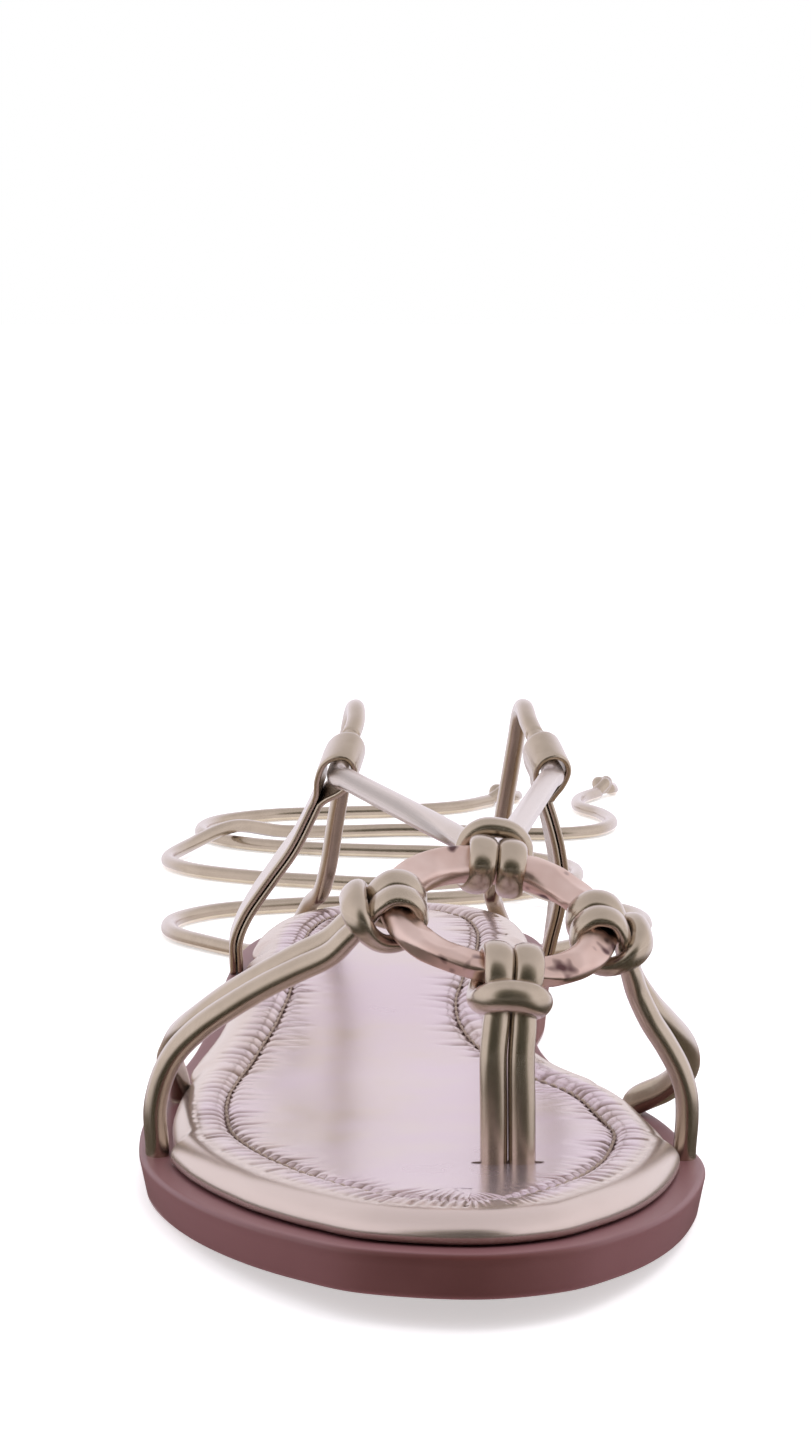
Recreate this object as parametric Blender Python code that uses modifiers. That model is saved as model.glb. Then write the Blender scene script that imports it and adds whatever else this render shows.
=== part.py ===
"""Lace-up gladiator sandal for the right foot, with a ring on the instep.

The toe points to -Y, the medial side (big toe) is at +X, and +Z is up. The origin is on the
floor, in the middle of the sole. Rolled leather cords hitch on a metal ring, two folded
straps carry the lace past the ankle, and the two free ties lie on the floor behind the heel.
"""

import math

import bpy
import numpy as np
from mathutils import Matrix, Vector

MM = 0.001
GAP = 0.3 * MM

# Sole and insole
SOLE_LENGTH = 252 * MM
BALL_WIDTH = 88.8 * MM
HEEL_WIDTH = 61.0 * MM
SOLE_THICKNESS = 6.6 * MM
SOLE_UNDERCUT = 1.0 * MM
SOLE_EDGE_ROUND = 0.8 * MM
TOE_SPRING = 4.8 * MM
TOE_SPRING_SHARE = 0.30
TOE_SPRING_POWER = 1.5
HEEL_LIFT = 5.0 * MM
LIFT_START_SHARE, LIFT_END_SHARE = 0.42, 0.76
HEEL_BREAST_SHARE = 0.70
WAIST_START_SHARE, WAIST_END_SHARE = 0.40, 0.76
INSOLE_THICKNESS = 4.7 * MM
SIDE_LEDGE = 3.9 * MM
TOE_LEDGE = 4.9 * MM
STRAP_NOTCH = 1.1 * MM
STRAP_NOTCH_SHARE = 0.035

# Rolled cord and metal ring
CORD_DIAMETER = 3.5 * MM
HITCH_GAP = 0.6 * MM
RING_DIAMETER = 36.0 * MM
RING_BAR = 4.6 * MM
RING_TILT = math.radians(21)
RING_ROLL = math.radians(8.5)
RING_SIDE = 11.9 * MM
RING_BEHIND_TOE = 64.0 * MM
RING_ABOVE_INSOLE = 34.1 * MM

# Ankle loops of flat folded strap, and the lace's height in them
LOOP_STRAP_WIDTH = 9.0 * MM
LOOP_STRAP_THICKNESS = 1.3 * MM
LOOP_BASE_SHARE = 0.778
LOOP_EYE_WIDTH = 6.5 * MM
LOOP_AXIS_RISE = math.radians(24)
LOOP_AXIS_TURN = math.radians(12)
LOOP_TWIST_SHARE = 0.8
EYE_LEAD_SHARE = 0.8
LATERAL_EYE_SIDE = -10.9 * MM
MEDIAL_EYE_SIDE = 27.0 * MM
EYE_BEHIND_TOE = 188.0 * MM
EYE_ABOVE_INSOLE = 38.2 * MM

# Free ties
KNOT_LENGTH = 9.0 * MM
KNOT_DIAMETER = 7.0 * MM

LATERAL, MEDIAL = -1, 1

# The sole's edge at its top, from the toe tip to the back of the heel.
# share of length, lateral half width, medial half width (both as shares of the local width)
SOLE_OUTLINE = (
    (0.020, 0.118, 0.214),
    (0.060, 0.225, 0.310),
    (0.110, 0.319, 0.389),
    (0.180, 0.412, 0.458),
    (0.260, 0.480, 0.499),
    (0.320, 0.500, 0.484),
    (0.400, 0.498, 0.437),
    (0.480, 0.484, 0.339),
    (0.560, 0.486, 0.304),
    (0.660, 0.524, 0.370),
    (0.760, 0.550, 0.470),
    (0.860, 0.515, 0.485),
    (0.930, 0.431, 0.433),
    (0.980, 0.254, 0.279),
)
TOE_TIP_SIDE = 0.073
HEEL_BACK_SIDE = 0.013

# Where the sole is cut across to build its surface, as shares of its length.
STATIONS = (
    0.004, 0.016, 0.036, 0.064, 0.100, 0.140, 0.180, 0.220, 0.260, 0.290, 0.320, 0.360,
    0.400, 0.440, 0.480, 0.530, 0.580, 0.640, 0.699, 0.701, 0.750, 0.800, 0.850, 0.890,
    0.925, 0.955, 0.978, 0.993,
)

# The insole's rolled edge, border and stitched channel, from under its edge to its panel.
# inset from the edge, height (as shares of the insole's thickness)
INSOLE_SECTION = (
    (0.20, 0.00),
    (0.00, 0.22),
    (0.00, 0.50),
    (0.15, 0.80),
    (0.50, 0.96),
    (1.15, 1.00),
    (1.95, 0.93),
    (2.20, 0.84),
    (2.45, 0.93),
    (3.10, 1.02),
)

# One half of a cow hitch, from its leg to the middle of the bar that holds the two legs.
# out from the ring and up: shares of the ring-to-cord distance; side: share of the cord pitch
HITCH = (
    (2.30, 0.52, 0.92),
    (1.50, 0.52, 0.92),
    (0.72, 0.52, 0.93),
    (0.00, 0.52, 1.03),
    (-0.75, 0.52, 0.74),
    (-1.04, 0.55, 0.00),
    (-0.74, 0.62, -0.76),
    (0.00, 0.86, -1.05),
    (0.74, 1.20, -0.86),
    (1.14, 1.48, -0.16),
    (1.14, 1.50, 0.74),
    (0.88, 1.22, 1.50),
    (0.52, 0.60, 1.84),
    (0.46, 0.00, 1.88),
)

# The moulded edge of the outsole, from its underside to its top.
# inset past the undercut or the edge, height off the face (as shares of the edge's rounding)
SOLE_LOWER_EDGE = ((0.5, 0.0), (0.0, 0.5))
SOLE_UPPER_EDGE = ((0.0, -1.0), (0.3, -0.3), (1.0, 0.0))

# Where each pair of cords sits on the ring: angle round it from the medial side towards the
# ankle, and how far the pair drops out of the ring's plane.
THONG_ANGLE, THONG_DROP = math.radians(-86), math.radians(58)
LATERAL_ANGLE, LATERAL_DROP = math.radians(182), math.radians(56)
MEDIAL_ANGLE, MEDIAL_DROP = math.radians(3), math.radians(65)
LACE_ANGLE, LACE_DROP = math.radians(89), math.radians(31)

# The toe thong's foot on the insole, and its route to the hitch.
# level share of the way, share of the rise
THONG_SIDE = 12.4 * MM
THONG_BEHIND_TOE = 43.5 * MM
THONG_HALF_PITCH = 0.52
THONG_ROUTE = ((0.0, 0.1), (0.4, 0.5))

# The cords of the side straps: side and the foot's share of the sole's length, then the route
# from the sole's edge to the hitch. up and along: shares of the way; bulge: outwards from the
# straight line, as a share of the rise.
STRAP_CORDS = {
    "lateral_front": (LATERAL, 0.292, (
        (0.20, 0.02, 0.17), (0.31, 0.06, 0.24), (0.42, 0.14, 0.29), (0.52, 0.24, 0.31),
        (0.63, 0.38, 0.29), (0.73, 0.54, 0.24), (0.84, 0.70, 0.16), (0.92, 0.84, 0.08),
    )),
    "lateral_back": (LATERAL, 0.440, (
        (0.17, 0.12, 0.14), (0.27, 0.28, 0.23), (0.38, 0.46, 0.28), (0.49, 0.62, 0.31),
        (0.60, 0.75, 0.29), (0.72, 0.84, 0.24), (0.82, 0.91, 0.17), (0.92, 0.96, 0.08),
    )),
    "medial_front": (MEDIAL, 0.276, (
        (0.23, 0.12, 0.08), (0.38, 0.38, 0.115), (0.53, 0.62, 0.115), (0.68, 0.77, 0.08),
        (0.83, 0.89, 0.03),
    )),
    "medial_back": (MEDIAL, 0.400, (
        (0.17, 0.14, 0.19), (0.26, 0.26, 0.27), (0.36, 0.39, 0.31), (0.46, 0.52, 0.31),
        (0.57, 0.66, 0.27), (0.69, 0.81, 0.19), (0.83, 0.94, 0.09),
    )),
}

# An ankle strap from the sole's edge to where its two layers part round the lace, by the same
# shares of the way from its foot to the lace's middle.
LOOP_STEMS = {
    LATERAL: (
        (0.06, 0.04, 0.03), (0.15, 0.12, 0.07), (0.27, 0.20, 0.08), (0.45, 0.38, 0.05),
        (0.61, 0.60, 0.02), (0.82, 0.87, 0.02),
    ),
    MEDIAL: (
        (0.06, 0.03, 0.02), (0.17, 0.14, 0.04), (0.29, 0.27, 0.06), (0.44, 0.42, 0.07),
        (0.59, 0.63, 0.05), (0.72, 0.82, 0.02), (0.82, 0.94, -0.01),
    ),
}
# One side of the eye above the stem. height: share of the way from the stem's top to the
# lace's middle; half width: share of the eye's width
LOOP_EYE = ((0.22, 0.16), (0.60, 0.40), (1.05, 0.50), (1.36, 0.32), (1.48, 0.00))

# The free ties, each from its ankle loop down beside the heel and along the floor.
# x, y, z in millimetres; a z of None is a point where the tie lies on the floor
CORD_LIES_AT = CORD_DIAMETER / 2 + 0.1 * MM
TIE_LATERAL_ROUTE = (
    (-8.5, 79, 61.5), (-9, 86, 60), (-10, 92, 54), (-11, 97, 45.5), (-12.5, 102.5, 35.5),
    (-14, 107.5, 25.5), (-15.5, 112.5, 19.4), (-17.5, 118.3, 16.4), (-19.5, 123, 12), (-22, 127, 6.5),
    (-25.5, 132, 3.2), (-31, 139, None), (-40, 149, None), (-48, 161, None), (-49, 175, None),
    (-40, 188, None), (-24, 195, None), (-4, 199, None), (16, 204, None), (34, 213, None),
    (45, 228, None), (46, 246, None), (36, 261, None), (19, 269, None), (-1, 273, None),
    (-21, 278, None), (-38, 288, None), (-47, 304, None), (-44, 322, None), (-30, 334, None),
    (-12, 338, None), (6, 341, None), (22, 348, None), (32, 360, None),
)
TIE_MEDIAL_ROUTE = (
    (24.3, 79, 61.5), (24, 86, 60), (23.5, 92, 54), (22.5, 97, 45.5), (21.3, 102.5, 35.5),
    (20.3, 107.5, 25.5), (19.8, 112.5, 19.4), (20.5, 118.3, 16.4), (22, 123, 12), (24.5, 127, 6.5),
    (28, 132, 3.2), (34, 139, None), (43, 148, None), (52, 158, None), (57, 170, None),
    (55, 183, None), (47, 193, None), (37, 201, 3.4), (27, 209, 5.9), (15, 217, 3.4),
    (1, 223, None), (-17, 228, None), (-34, 235, None), (-48, 246, None), (-54, 261, None),
    (-49, 276, 3.1), (-38, 288.5, 5.9), (-26, 298, 3.1), (-10, 305, None), (8, 307, None),
    (26, 303, None), (43, 299, None), (56, 304, None), (62, 317, None), (61, 332, None),
    (56, 346, None), (57, 361, None), (63, 374, None),
)


def clear_scene():
    for thing in list(bpy.data.objects):
        bpy.data.objects.remove(thing)


def finish(name, colour, roughness, metallic=0.0):
    material = bpy.data.materials.new(name)
    material.use_nodes = True
    shader = material.node_tree.nodes["Principled BSDF"]
    shader.inputs["Base Color"].default_value = (*colour, 1)
    shader.inputs["Roughness"].default_value = roughness
    shader.inputs["Metallic"].default_value = metallic
    return material


def ease(value):
    """0 to 1 with level ends."""
    value = min(1.0, max(0.0, value))
    return value * value * (3 - 2 * value)


def unit(direction):
    return direction / np.linalg.norm(direction)


def smooth_curve(points, closed=False, per_span=12):
    """A dense centripetal Catmull-Rom curve through the points."""
    spots = [np.array(point, float) for point in points]
    if closed:
        spots = [spots[-1], *spots, spots[0], spots[1]]
    else:
        spots = [2 * spots[0] - spots[1], *spots, 2 * spots[-1] - spots[-2]]
    made = []
    for a, b, c, d in zip(spots, spots[1:], spots[2:], spots[3:]):
        pairs = ((a, b), (b, c), (c, d))
        knots = np.cumsum([0] + [max(1e-9, np.linalg.norm(q - p)) ** 0.5 for p, q in pairs])
        for t in np.linspace(knots[1], knots[2], per_span, endpoint=False):
            first = [
                ((knots[i + 1] - t) * p + (t - knots[i]) * q) / (knots[i + 1] - knots[i])
                for i, (p, q) in enumerate(pairs)
            ]
            second = [
                ((knots[i + 2] - t) * first[i] + (t - knots[i]) * first[i + 1]) / (knots[i + 2] - knots[i])
                for i in (0, 1)
            ]
            made.append(((knots[2] - t) * second[0] + (t - knots[1]) * second[1]) / (knots[2] - knots[1]))
    return made if closed else [*made, spots[-2]]


def thinned(points, most_turn=math.radians(24), most_step=7 * MM):
    """The points of a dense curve that keep its bends: one for each turn or step of that size."""
    kept, turned, went = [points[0]], 0.0, 0.0
    for before, here, after in zip(points, points[1:], points[2:]):
        into, out = Vector(here - before), Vector(after - here)
        turned += into.angle(out, 0.0)
        went += into.length
        if turned > most_turn or went > most_step:
            kept.append(here)
            turned, went = 0.0, 0.0
    if len(kept) > 1 and np.linalg.norm(kept[-1] - points[-1]) < CORD_DIAMETER / 3:
        kept.pop()
    return [*kept, points[-1]]


# The sole's outline and its rise along the foot


def local_width(share):
    return BALL_WIDTH + (HEEL_WIDTH - BALL_WIDTH) * ease(
        (share - WAIST_START_SHARE) / (WAIST_END_SHARE - WAIST_START_SHARE)
    )


def along(share):
    """Y of a share of the sole's length, from the toe tip."""
    return (share - 0.5) * SOLE_LENGTH


def outline_curve():
    lateral = [(-side * local_width(share), along(share)) for share, side, _ in SOLE_OUTLINE]
    medial = [(side * local_width(share), along(share)) for share, _, side in SOLE_OUTLINE]
    toe = (TOE_TIP_SIDE * BALL_WIDTH, along(0))
    back = (HEEL_BACK_SIDE * HEEL_WIDTH, along(1))
    loop = smooth_curve([toe, *lateral, back, *reversed(medial)], closed=True, per_span=16)
    turn = 16 * (len(lateral) + 1)
    return {LATERAL: np.array(loop[: turn + 1]), MEDIAL: np.array([loop[0], *reversed(loop[turn:])])}


EDGE = outline_curve()


def edge_point(side, share):
    """(point on the sole's edge, direction straight into the sole) at a share of its length."""
    curve = EDGE[side]
    y = along(share)
    index = int(np.clip(np.searchsorted(curve[:, 1], y), 1, len(curve) - 1))
    before, after = curve[index - 1], curve[index]
    point = before + (after - before) * (y - before[1]) / (after[1] - before[1])
    run = (after - before) / np.linalg.norm(after - before)
    return point, np.array([-side * run[1], side * run[0]])


def sole_top(y):
    share = y / SOLE_LENGTH + 0.5
    spring = max(0.0, 1 - share / TOE_SPRING_SHARE)
    lift = ease((share - LIFT_START_SHARE) / (LIFT_END_SHARE - LIFT_START_SHARE))
    return SOLE_THICKNESS + TOE_SPRING * spring**TOE_SPRING_POWER + HEEL_LIFT * lift


def sole_under(y):
    if y / SOLE_LENGTH + 0.5 > HEEL_BREAST_SHARE:
        return 0.0
    return sole_top(y) - SOLE_THICKNESS


def loop_at(inset_of, height_of):
    """A closed loop of points round the sole: inset from its edge, at a height for each Y."""
    sides = {}
    for side in (LATERAL, MEDIAL):
        sides[side] = []
        for share in STATIONS:
            point, inward = edge_point(side, share)
            x, y = point + inward * inset_of(side, share, inward)
            sides[side].append((x, y, height_of(y)))
    toe, back = EDGE[LATERAL][0], EDGE[LATERAL][-1]
    toe_y = toe[1] + inset_of(LATERAL, 0.0, np.array([0.0, 1.0]))
    back_y = back[1] - inset_of(LATERAL, 1.0, np.array([0.0, -1.0]))
    tip = (toe[0], toe_y, height_of(toe_y))
    end = (back[0], back_y, height_of(back_y))
    return [tip, *sides[LATERAL], end, *reversed(sides[MEDIAL])]


def stacked_solid(name, loops, material):
    """A closed solid through loops that run round it from its underside to its top."""
    count = len(loops[0])
    points = [point for loop in loops for point in loop]
    faces = []
    for row in range(len(loops) - 1):
        for i in range(count):
            j = (i + 1) % count
            low, high = row * count, (row + 1) * count
            faces.append((low + i, high + i, high + j, low + j))
    top = (len(loops) - 1) * count
    for i in range(count // 2):
        across = list(dict.fromkeys([i, i + 1, count - i - 1, (count - i) % count]))
        faces.append(across)
        faces.append([top + corner for corner in reversed(across)])
    mesh = bpy.data.meshes.new(name)
    mesh.from_pydata([Vector(point) for point in points], [], faces)
    mesh.materials.append(material)
    solid = bpy.data.objects.new(name, mesh)
    parts.objects.link(solid)
    mesh.shade_smooth()
    mesh.set_sharp_from_angle(angle=math.radians(40))
    return solid


def outsole(material):
    """One moulded rubber sole: rounded top edge, toe spring, lifted arch and a low heel."""
    loops = []
    for face, undercut, edge in (
        (sole_under, SOLE_UNDERCUT, SOLE_LOWER_EDGE),
        (sole_top, 0.0, SOLE_UPPER_EDGE),
    ):
        for inset_share, height_share in edge:
            inset = undercut + inset_share * SOLE_EDGE_ROUND
            height = height_share * SOLE_EDGE_ROUND
            loops.append(loop_at(
                lambda *_, inset=inset: inset,
                lambda y, face=face, height=height: face(y) + height,
            ))
    return stacked_solid("outsole", loops, material)


def ledge(inward):
    """How far the insole's edge lies inside the outsole's, wider round the toe and heel."""
    return SIDE_LEDGE + (TOE_LEDGE - SIDE_LEDGE) * inward[1] ** 2


def notch(side, share):
    """The insole's edge draws in where the cords and straps go under it."""
    shares = [row[1] for row in STRAP_CORDS.values() if row[0] == side] + [LOOP_BASE_SHARE]
    return STRAP_NOTCH * max(ease(1 - abs(share - base) / STRAP_NOTCH_SHARE) for base in shares)


def insole(material):
    """A padded footbed wrapped in leather, with a rolled edge and a sewn channel round it."""
    loops = []
    for inset, height in INSOLE_SECTION:
        def row_inset(side, share, inward, inset=inset):
            fade = max(0.0, 1 - inset)
            return ledge(inward) + notch(side, share) * fade + inset * INSOLE_THICKNESS

        def row_height(y, height=height):
            return sole_top(y) + GAP + height * INSOLE_THICKNESS

        loops.append(loop_at(row_inset, row_height))
    return stacked_solid("insole", loops, material)


def insole_top(y):
    return sole_top(y) + GAP + INSOLE_SECTION[-1][1] * INSOLE_THICKNESS


# The ring, and the cords hitched on it

RING_Y = along(0) + RING_BEHIND_TOE
RING_CENTRE = np.array([RING_SIDE, RING_Y, insole_top(RING_Y) + RING_ABOVE_INSOLE])
RING_UP_FOOT = np.array([0, math.cos(RING_TILT), math.sin(RING_TILT)])
RING_ACROSS = np.array([
    math.cos(RING_ROLL),
    math.sin(RING_TILT) * math.sin(RING_ROLL),
    -math.cos(RING_TILT) * math.sin(RING_ROLL),
])
RING_NORMAL = np.cross(RING_ACROSS, RING_UP_FOOT)
RING_RADIUS = (RING_DIAMETER - RING_BAR) / 2
RING_TO_CORD = (RING_BAR + CORD_DIAMETER) / 2 + HITCH_GAP
CORD_PITCH = CORD_DIAMETER + GAP


def instep_ring(material):
    """A cast metal ring with flat facets round it."""
    bpy.ops.mesh.primitive_torus_add(
        major_segments=24,
        minor_segments=8,
        major_radius=RING_RADIUS,
        minor_radius=RING_BAR / 2,
    )
    ring = bpy.context.object
    ring.location = RING_CENTRE
    ring.rotation_euler = Matrix((RING_ACROSS, RING_UP_FOOT, RING_NORMAL)).transposed().to_euler()
    ring.name = ring.data.name = "instep_ring"
    ring.data.materials.append(material)
    bpy.context.collection.objects.unlink(ring)
    parts.objects.link(ring)
    return ring


def hitch(angle, drop):
    """The points of a whole cow hitch on the ring, from one leg's end to the other's."""
    radial = math.cos(angle) * RING_ACROSS + math.sin(angle) * RING_UP_FOOT
    tangent = -math.sin(angle) * RING_ACROSS + math.cos(angle) * RING_UP_FOOT
    out = math.cos(drop) * radial - math.sin(drop) * RING_NORMAL
    up = math.cos(drop) * RING_NORMAL + math.sin(drop) * radial
    bar = RING_CENTRE + radial * RING_RADIUS

    def place(outward, sideways, upward):
        return bar + (out * outward + up * upward) * RING_TO_CORD + tangent * sideways * CORD_PITCH

    half = [place(outward, sideways, upward) for outward, sideways, upward in HITCH]
    other = [place(outward, -sideways, upward) for outward, sideways, upward in HITCH[:-1]]
    return [*half, *reversed(other)]


def cord(name, points, material, most_turn=math.radians(24)):
    """A rolled leather cord along the points, as a round tube with flat ends."""
    line = thinned(smooth_curve(points), most_turn)
    curve = bpy.data.curves.new(name, "CURVE")
    curve.dimensions = "3D"
    curve.bevel_depth = CORD_DIAMETER / 2
    curve.bevel_resolution = 2
    curve.use_fill_caps = True
    spline = curve.splines.new("POLY")
    spline.points.add(len(line) - 1)
    for spot, place in zip(spline.points, line):
        spot.co = (*place, 1)
    curve.materials.append(material)
    tube = bpy.data.objects.new(name, curve)
    parts.objects.link(tube)
    return tube


def climbing(side, foot, end, rows):
    """Points from a foot on the sole's edge up to the end, by the columns of their table."""
    way = end - foot
    return [
        foot + np.array([way[0] * up + side * bulge * way[2], way[1] * run, way[2] * up])
        for up, run, bulge in rows
    ]


def toe_thong(material):
    """Two cords that rise between the big toe and the next one and hitch on the ring."""
    points = hitch(THONG_ANGLE, THONG_DROP)
    foot_y = along(0) + THONG_BEHIND_TOE
    foot_z = insole_top(foot_y) + GAP
    legs = []
    for start, sideways in ((points[0], THONG_HALF_PITCH), (points[-1], -THONG_HALF_PITCH)):
        foot = np.array([THONG_SIDE + sideways * CORD_PITCH, foot_y, foot_z])
        way = start - foot
        legs.append([foot, *(foot + way * np.array([level, level, rise]) for level, rise in THONG_ROUTE)])
    return cord("upper_toe_thong", [*legs[0], *points, *reversed(legs[1])], material)


def cord_foot(side, share):
    """Where a cord of the upper meets the ledge of the sole, beside the insole."""
    point, inward = edge_point(side, share)
    x, y = point + inward * CORD_DIAMETER / 2
    return np.array([x, y, sole_top(y) + GAP])


def strap_leg(start, side, share, route):
    """A leaning cord from its foot, raised until the low side of its end clears the ledge."""
    foot = cord_foot(side, share)
    leg = climbing(side, foot, start, route)
    lean = math.sqrt(1 - unit(leg[0] - foot)[2] ** 2)
    return [foot + np.array([0, 0, lean * CORD_DIAMETER / 2 + GAP / 2]), *leg]


def side_strap(name, angle, drop, first, second, material):
    """A doubled cord from the ring down to two places on the sole's edge."""
    points = hitch(angle, drop)
    to_first = strap_leg(points[0], *STRAP_CORDS[first])
    to_second = strap_leg(points[-1], *STRAP_CORDS[second])
    return cord(name, [*to_first, *points, *reversed(to_second)], material)


# The folded ankle straps and the lace through them

EYE_Y = along(0) + EYE_BEHIND_TOE
EYE_Z = insole_top(EYE_Y) + EYE_ABOVE_INSOLE
EYES = {
    LATERAL: np.array([LATERAL_EYE_SIDE, EYE_Y, EYE_Z]),
    MEDIAL: np.array([MEDIAL_EYE_SIDE, EYE_Y, EYE_Z]),
}


def eye_axis(side):
    """The direction in which the lace runs backwards through an ankle loop."""
    level = math.cos(LOOP_AXIS_RISE)
    return np.array([
        -side * math.sin(LOOP_AXIS_TURN) * level,
        math.cos(LOOP_AXIS_TURN) * level,
        math.sin(LOOP_AXIS_RISE),
    ])


def ankle_loop(name, side, material):
    """A flat strap folded in two over the lace, both ends beside the insole's edge."""
    point, inward = edge_point(side, LOOP_BASE_SHARE)
    axis = eye_axis(side)
    apart = (LOOP_STRAP_THICKNESS + GAP) / 2
    x, y = point + inward * (apart + LOOP_STRAP_THICKNESS / 2)
    foot = np.array([x, y, sole_top(y) + 2 * GAP])
    stem = [foot, *climbing(side, foot, EYES[side], LOOP_STEMS[side])]
    to_lace = EYES[side] - stem[-1]
    stand = to_lace - axis * (to_lace @ axis)
    across = np.cross(axis, unit(stand))
    stem_line = smooth_curve(stem, per_span=4)
    half = []
    for index, place in enumerate(stem_line):
        run = stem_line[min(index + 1, len(stem_line) - 1)] - stem_line[max(index - 1, 0)]
        half.append((place, unit(np.cross(axis, unit(run))) * apart))
    eye = [(stem[-1] + stand * height, across * width * LOOP_EYE_WIDTH) for height, width in LOOP_EYE]
    near = [place + sideways for place, sideways in [*half, *eye]]
    far = [place - sideways for place, sideways in [*half, *eye[:-1]]]
    line = thinned(smooth_curve([*near, *reversed(far)], per_span=6), math.radians(22), 6 * MM)
    edge_run = np.array([abs(inward[1]) * np.sign(-side * inward[0] * inward[1]), abs(inward[0]), 0])
    points = []
    for place in line:
        share = ease((place[2] - foot[2]) / (LOOP_TWIST_SHARE * (stem[-1][2] - foot[2])))
        half_width = unit(edge_run * (1 - share) + axis * share) * LOOP_STRAP_WIDTH / 2
        points += [Vector(place - half_width), Vector(place + half_width)]
    faces = [(2 * i, 2 * i + 1, 2 * i + 3, 2 * i + 2) for i in range(len(line) - 1)]
    mesh = bpy.data.meshes.new(name)
    mesh.from_pydata(points, [], faces)
    mesh.materials.append(material)
    strap = bpy.data.objects.new(name, mesh)
    parts.objects.link(strap)
    mesh.shade_smooth()
    wall = strap.modifiers.new("wall", "SOLIDIFY")
    wall.thickness = LOOP_STRAP_THICKNESS
    wall.offset = 0
    wall.use_even_offset = True
    return strap


def lace_exit(side):
    """Where the lace leaves the back of an ankle loop and becomes a free tie."""
    return EYES[side] + eye_axis(side) * (LOOP_STRAP_WIDTH / 2 + CORD_DIAMETER)


def instep_lace(material):
    """The lace's taut middle: hitched on the ring, both runs out through the ankle loops."""
    points = hitch(LACE_ANGLE, LACE_DROP)
    runs = []
    for start, side in ((points[0], LATERAL), (points[-1], MEDIAL)):
        before_eye = EYES[side] - eye_axis(side) * LOOP_STRAP_WIDTH * EYE_LEAD_SHARE
        taut = [start + (before_eye - start) * share for share in (0.15, 0.4, 0.7, 0.9)]
        runs.append([*taut, before_eye, EYES[side], lace_exit(side)])
    return cord("upper_instep_lace", [*reversed(runs[0]), *points, *runs[1]], material)


def free_tie(name, side, route, material):
    """A tie that falls from its ankle loop and lies on the floor, up to the knot in its end."""
    start = lace_exit(side) + eye_axis(side) * GAP
    placed = [start, start + eye_axis(side) * CORD_DIAMETER]
    for x, y, z in route:
        height = CORD_LIES_AT if z is None else z * MM
        placed.append(np.array([x * MM, y * MM, height]))
    cord(name, placed, material, math.radians(18))
    return placed


def end_knot(name, placed, material):
    """The overhand knot that ends a tie, as its plain outer shape lying on the floor."""
    run = unit(placed[-1] - placed[-2])
    centre = placed[-1] + run * (KNOT_LENGTH / 2 + GAP)
    bpy.ops.mesh.primitive_uv_sphere_add(segments=12, ring_count=8, radius=0.5)
    knot = bpy.context.object
    knot.name = knot.data.name = name
    knot.scale = (KNOT_LENGTH, KNOT_DIAMETER, KNOT_DIAMETER)
    knot.rotation_euler = (0, 0, math.atan2(run[1], run[0]))
    knot.location = (centre[0], centre[1], KNOT_DIAMETER / 2)
    knot.data.materials.append(material)
    knot.data.shade_smooth()
    bpy.context.collection.objects.unlink(knot)
    parts.objects.link(knot)
    return knot


clear_scene()
parts = bpy.data.collections.new("gladiator_sandal")
bpy.context.scene.collection.children.link(parts)

rubber = finish("brown_rubber", (0.20, 0.085, 0.075), 0.55)
lining = finish("metallic_footbed_leather", (0.72, 0.58, 0.55), 0.32, 0.6)
rolled = finish("metallic_rolled_leather", (0.58, 0.50, 0.40), 0.28, 0.8)
rose_metal = finish("rose_gold_metal", (0.86, 0.58, 0.50), 0.25, 1.0)

outsole(rubber)
insole(lining)
instep_ring(rose_metal)
toe_thong(rolled)
side_strap("upper_strap_lateral", LATERAL_ANGLE, LATERAL_DROP, "lateral_front", "lateral_back", rolled)
side_strap("upper_strap_medial", MEDIAL_ANGLE, MEDIAL_DROP, "medial_back", "medial_front", rolled)
ankle_loop("upper_ankle_loop_lateral", LATERAL, rolled)
ankle_loop("upper_ankle_loop_medial", MEDIAL, rolled)
instep_lace(rolled)
end_knot("tie_knot_lateral", free_tie("tie_lateral", LATERAL, TIE_LATERAL_ROUTE, rolled), rolled)
end_knot("tie_knot_medial", free_tie("tie_medial", MEDIAL, TIE_MEDIAL_ROUTE, rolled), rolled)
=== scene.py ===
import math
import random

import bpy
import numpy as np
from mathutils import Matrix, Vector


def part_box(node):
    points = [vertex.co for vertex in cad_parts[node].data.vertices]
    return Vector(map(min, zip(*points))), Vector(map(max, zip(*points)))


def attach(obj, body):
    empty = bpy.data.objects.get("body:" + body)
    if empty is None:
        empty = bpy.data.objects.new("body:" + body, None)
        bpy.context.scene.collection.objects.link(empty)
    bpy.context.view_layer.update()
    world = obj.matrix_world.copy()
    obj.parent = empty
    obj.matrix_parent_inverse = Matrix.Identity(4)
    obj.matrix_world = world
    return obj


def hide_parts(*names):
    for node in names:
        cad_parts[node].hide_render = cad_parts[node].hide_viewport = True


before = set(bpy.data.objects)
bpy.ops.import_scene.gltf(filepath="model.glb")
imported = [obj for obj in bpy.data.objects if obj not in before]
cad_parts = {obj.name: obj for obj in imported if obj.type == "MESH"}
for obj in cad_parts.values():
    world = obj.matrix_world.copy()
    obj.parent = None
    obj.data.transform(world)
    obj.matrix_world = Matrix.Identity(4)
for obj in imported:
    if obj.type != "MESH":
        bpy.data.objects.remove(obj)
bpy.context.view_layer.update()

MM = 0.001

# The photographer's camera stands low in front of the toes, a little above the instep, and looks
# slightly down through a long lens, so that the sole is seen foreshortened from toe to heel.
bpy.ops.object.camera_add(
    location=(-0.01458, -0.56523, 0.13864),
    rotation=(math.pi / 2 - 0.1228, 0.0, -0.0244),
)
camera = bpy.context.object
camera.name = "studio_camera"
camera.data.lens = 83.17
camera.data.sensor_width = 36
camera.data.clip_start = 0.01
bpy.context.scene.camera = camera
bpy.context.scene.view_settings.view_transform = "Standard"

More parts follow.
